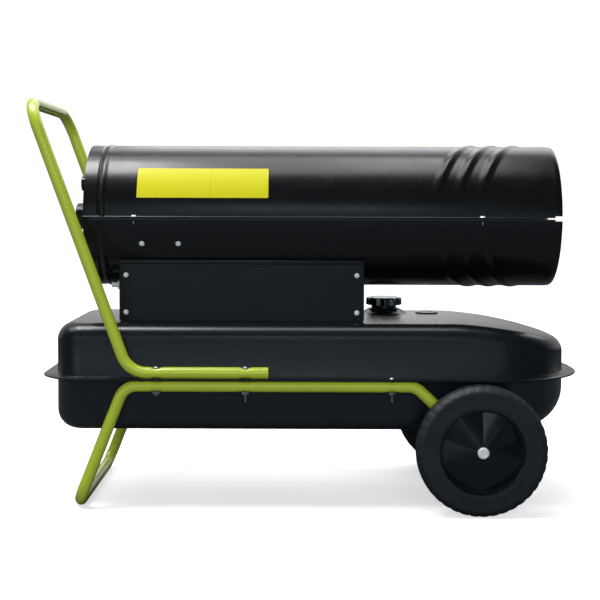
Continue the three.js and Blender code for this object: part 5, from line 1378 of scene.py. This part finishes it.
# %% Softboxes
def soft_light(name, at, aim, size, power, colour=(1, 1, 1), mirrored=True):
    """A rectangular softbox. One that isn't mirrored lights the surfaces without showing in their gloss."""
    data = bpy.data.lights.new(name, "AREA")
    data.shape = "RECTANGLE"
    data.size, data.size_y = size
    data.energy = power
    data.color = colour
    lamp = bpy.data.objects.new(name, data)
    bpy.context.scene.collection.objects.link(lamp)
    lamp.location = at
    lamp.rotation_mode = "QUATERNION"
    lamp.rotation_quaternion = (Vector(at) - Vector(aim)).to_track_quat("Z", "Y")
    lamp.visible_glossy = mirrored


soft_light("overhead", (-1.14, -0.03, 2.5), (-1.14, -0.03, 0), (3.52, 1.5), 48)
soft_light("overhead_left", (-0.93, -0.26, 2.49), (-0.93, -0.26, 0), (0.95, 0.9), 34)
soft_light("overhead_right", (0.36, 0.05, 2.48), (0.36, 0.05, 0), (0.45, 1.1), 3.4)
soft_light("rear_wall", (0.9, 1.95, 2.2), (0.5, 0, 0.5), (3.4, 1.5), 24)
soft_light("front_strip", (-0.6, -3.4, 0.5), (0, 0, 0.45), (5.4, 0.9), 5.4, COOL)
soft_light("front_high", (-0.04, -3.05, 1.18), (0.27, -0.19, 0.1), (1.0, 0.5), 2.1, (0.8, 0.94, 1.0))
soft_light("front_left", (-1.9, -3.1, 0.98), (0.27, -0.19, 0.1), (1.7, 1.0), 2.6, (0.75, 0.9, 1.0))
soft_light("front_fill", (0, -4.2, 1.3), (0, 0, 0.3), (6, 1.8), 124, (0.96, 0.98, 1.0), mirrored=False)
print("lights:", len(bpy.data.lights))

# %% [markdown]
# ## Camera
# The camera was fitted to the photograph: it stands 2.06 m in front of the middle plane and 0.50 m up.
# The picture's horizon is well above its middle. Tilting the camera down that far would make the tank's
# walls lean, so half of it is done by a shift of the lens, as on a studio camera.

# %% Camera
PICTURE_PX, LENS_PX, HORIZON_PX, SENSOR = 600, 1204.0, 198.0, 36
EYE = Vector((-8.4 - MIDDLE, -2056.0, 496.8)) * MM
tilt = math.radians(2.42)
whole = math.atan((PICTURE_PX / 2 - HORIZON_PX) / LENS_PX)
data = bpy.data.cameras.new("photo_camera")
data.sensor_width = SENSOR
data.lens = LENS_PX / PICTURE_PX * SENSOR
data.shift_y = -math.tan(whole - tilt) * LENS_PX / PICTURE_PX
camera = bpy.data.objects.new("photo_camera", data)
bpy.context.scene.collection.objects.link(camera)
camera.location = EYE
camera.rotation_euler = (math.radians(90) - tilt, math.radians(-0.2), 0)
bpy.context.scene.camera = camera
bpy.context.scene.view_settings.view_transform = "Standard"
print("camera:", [round(v, 4) for v in camera.location], "shift", round(data.shift_y, 4))
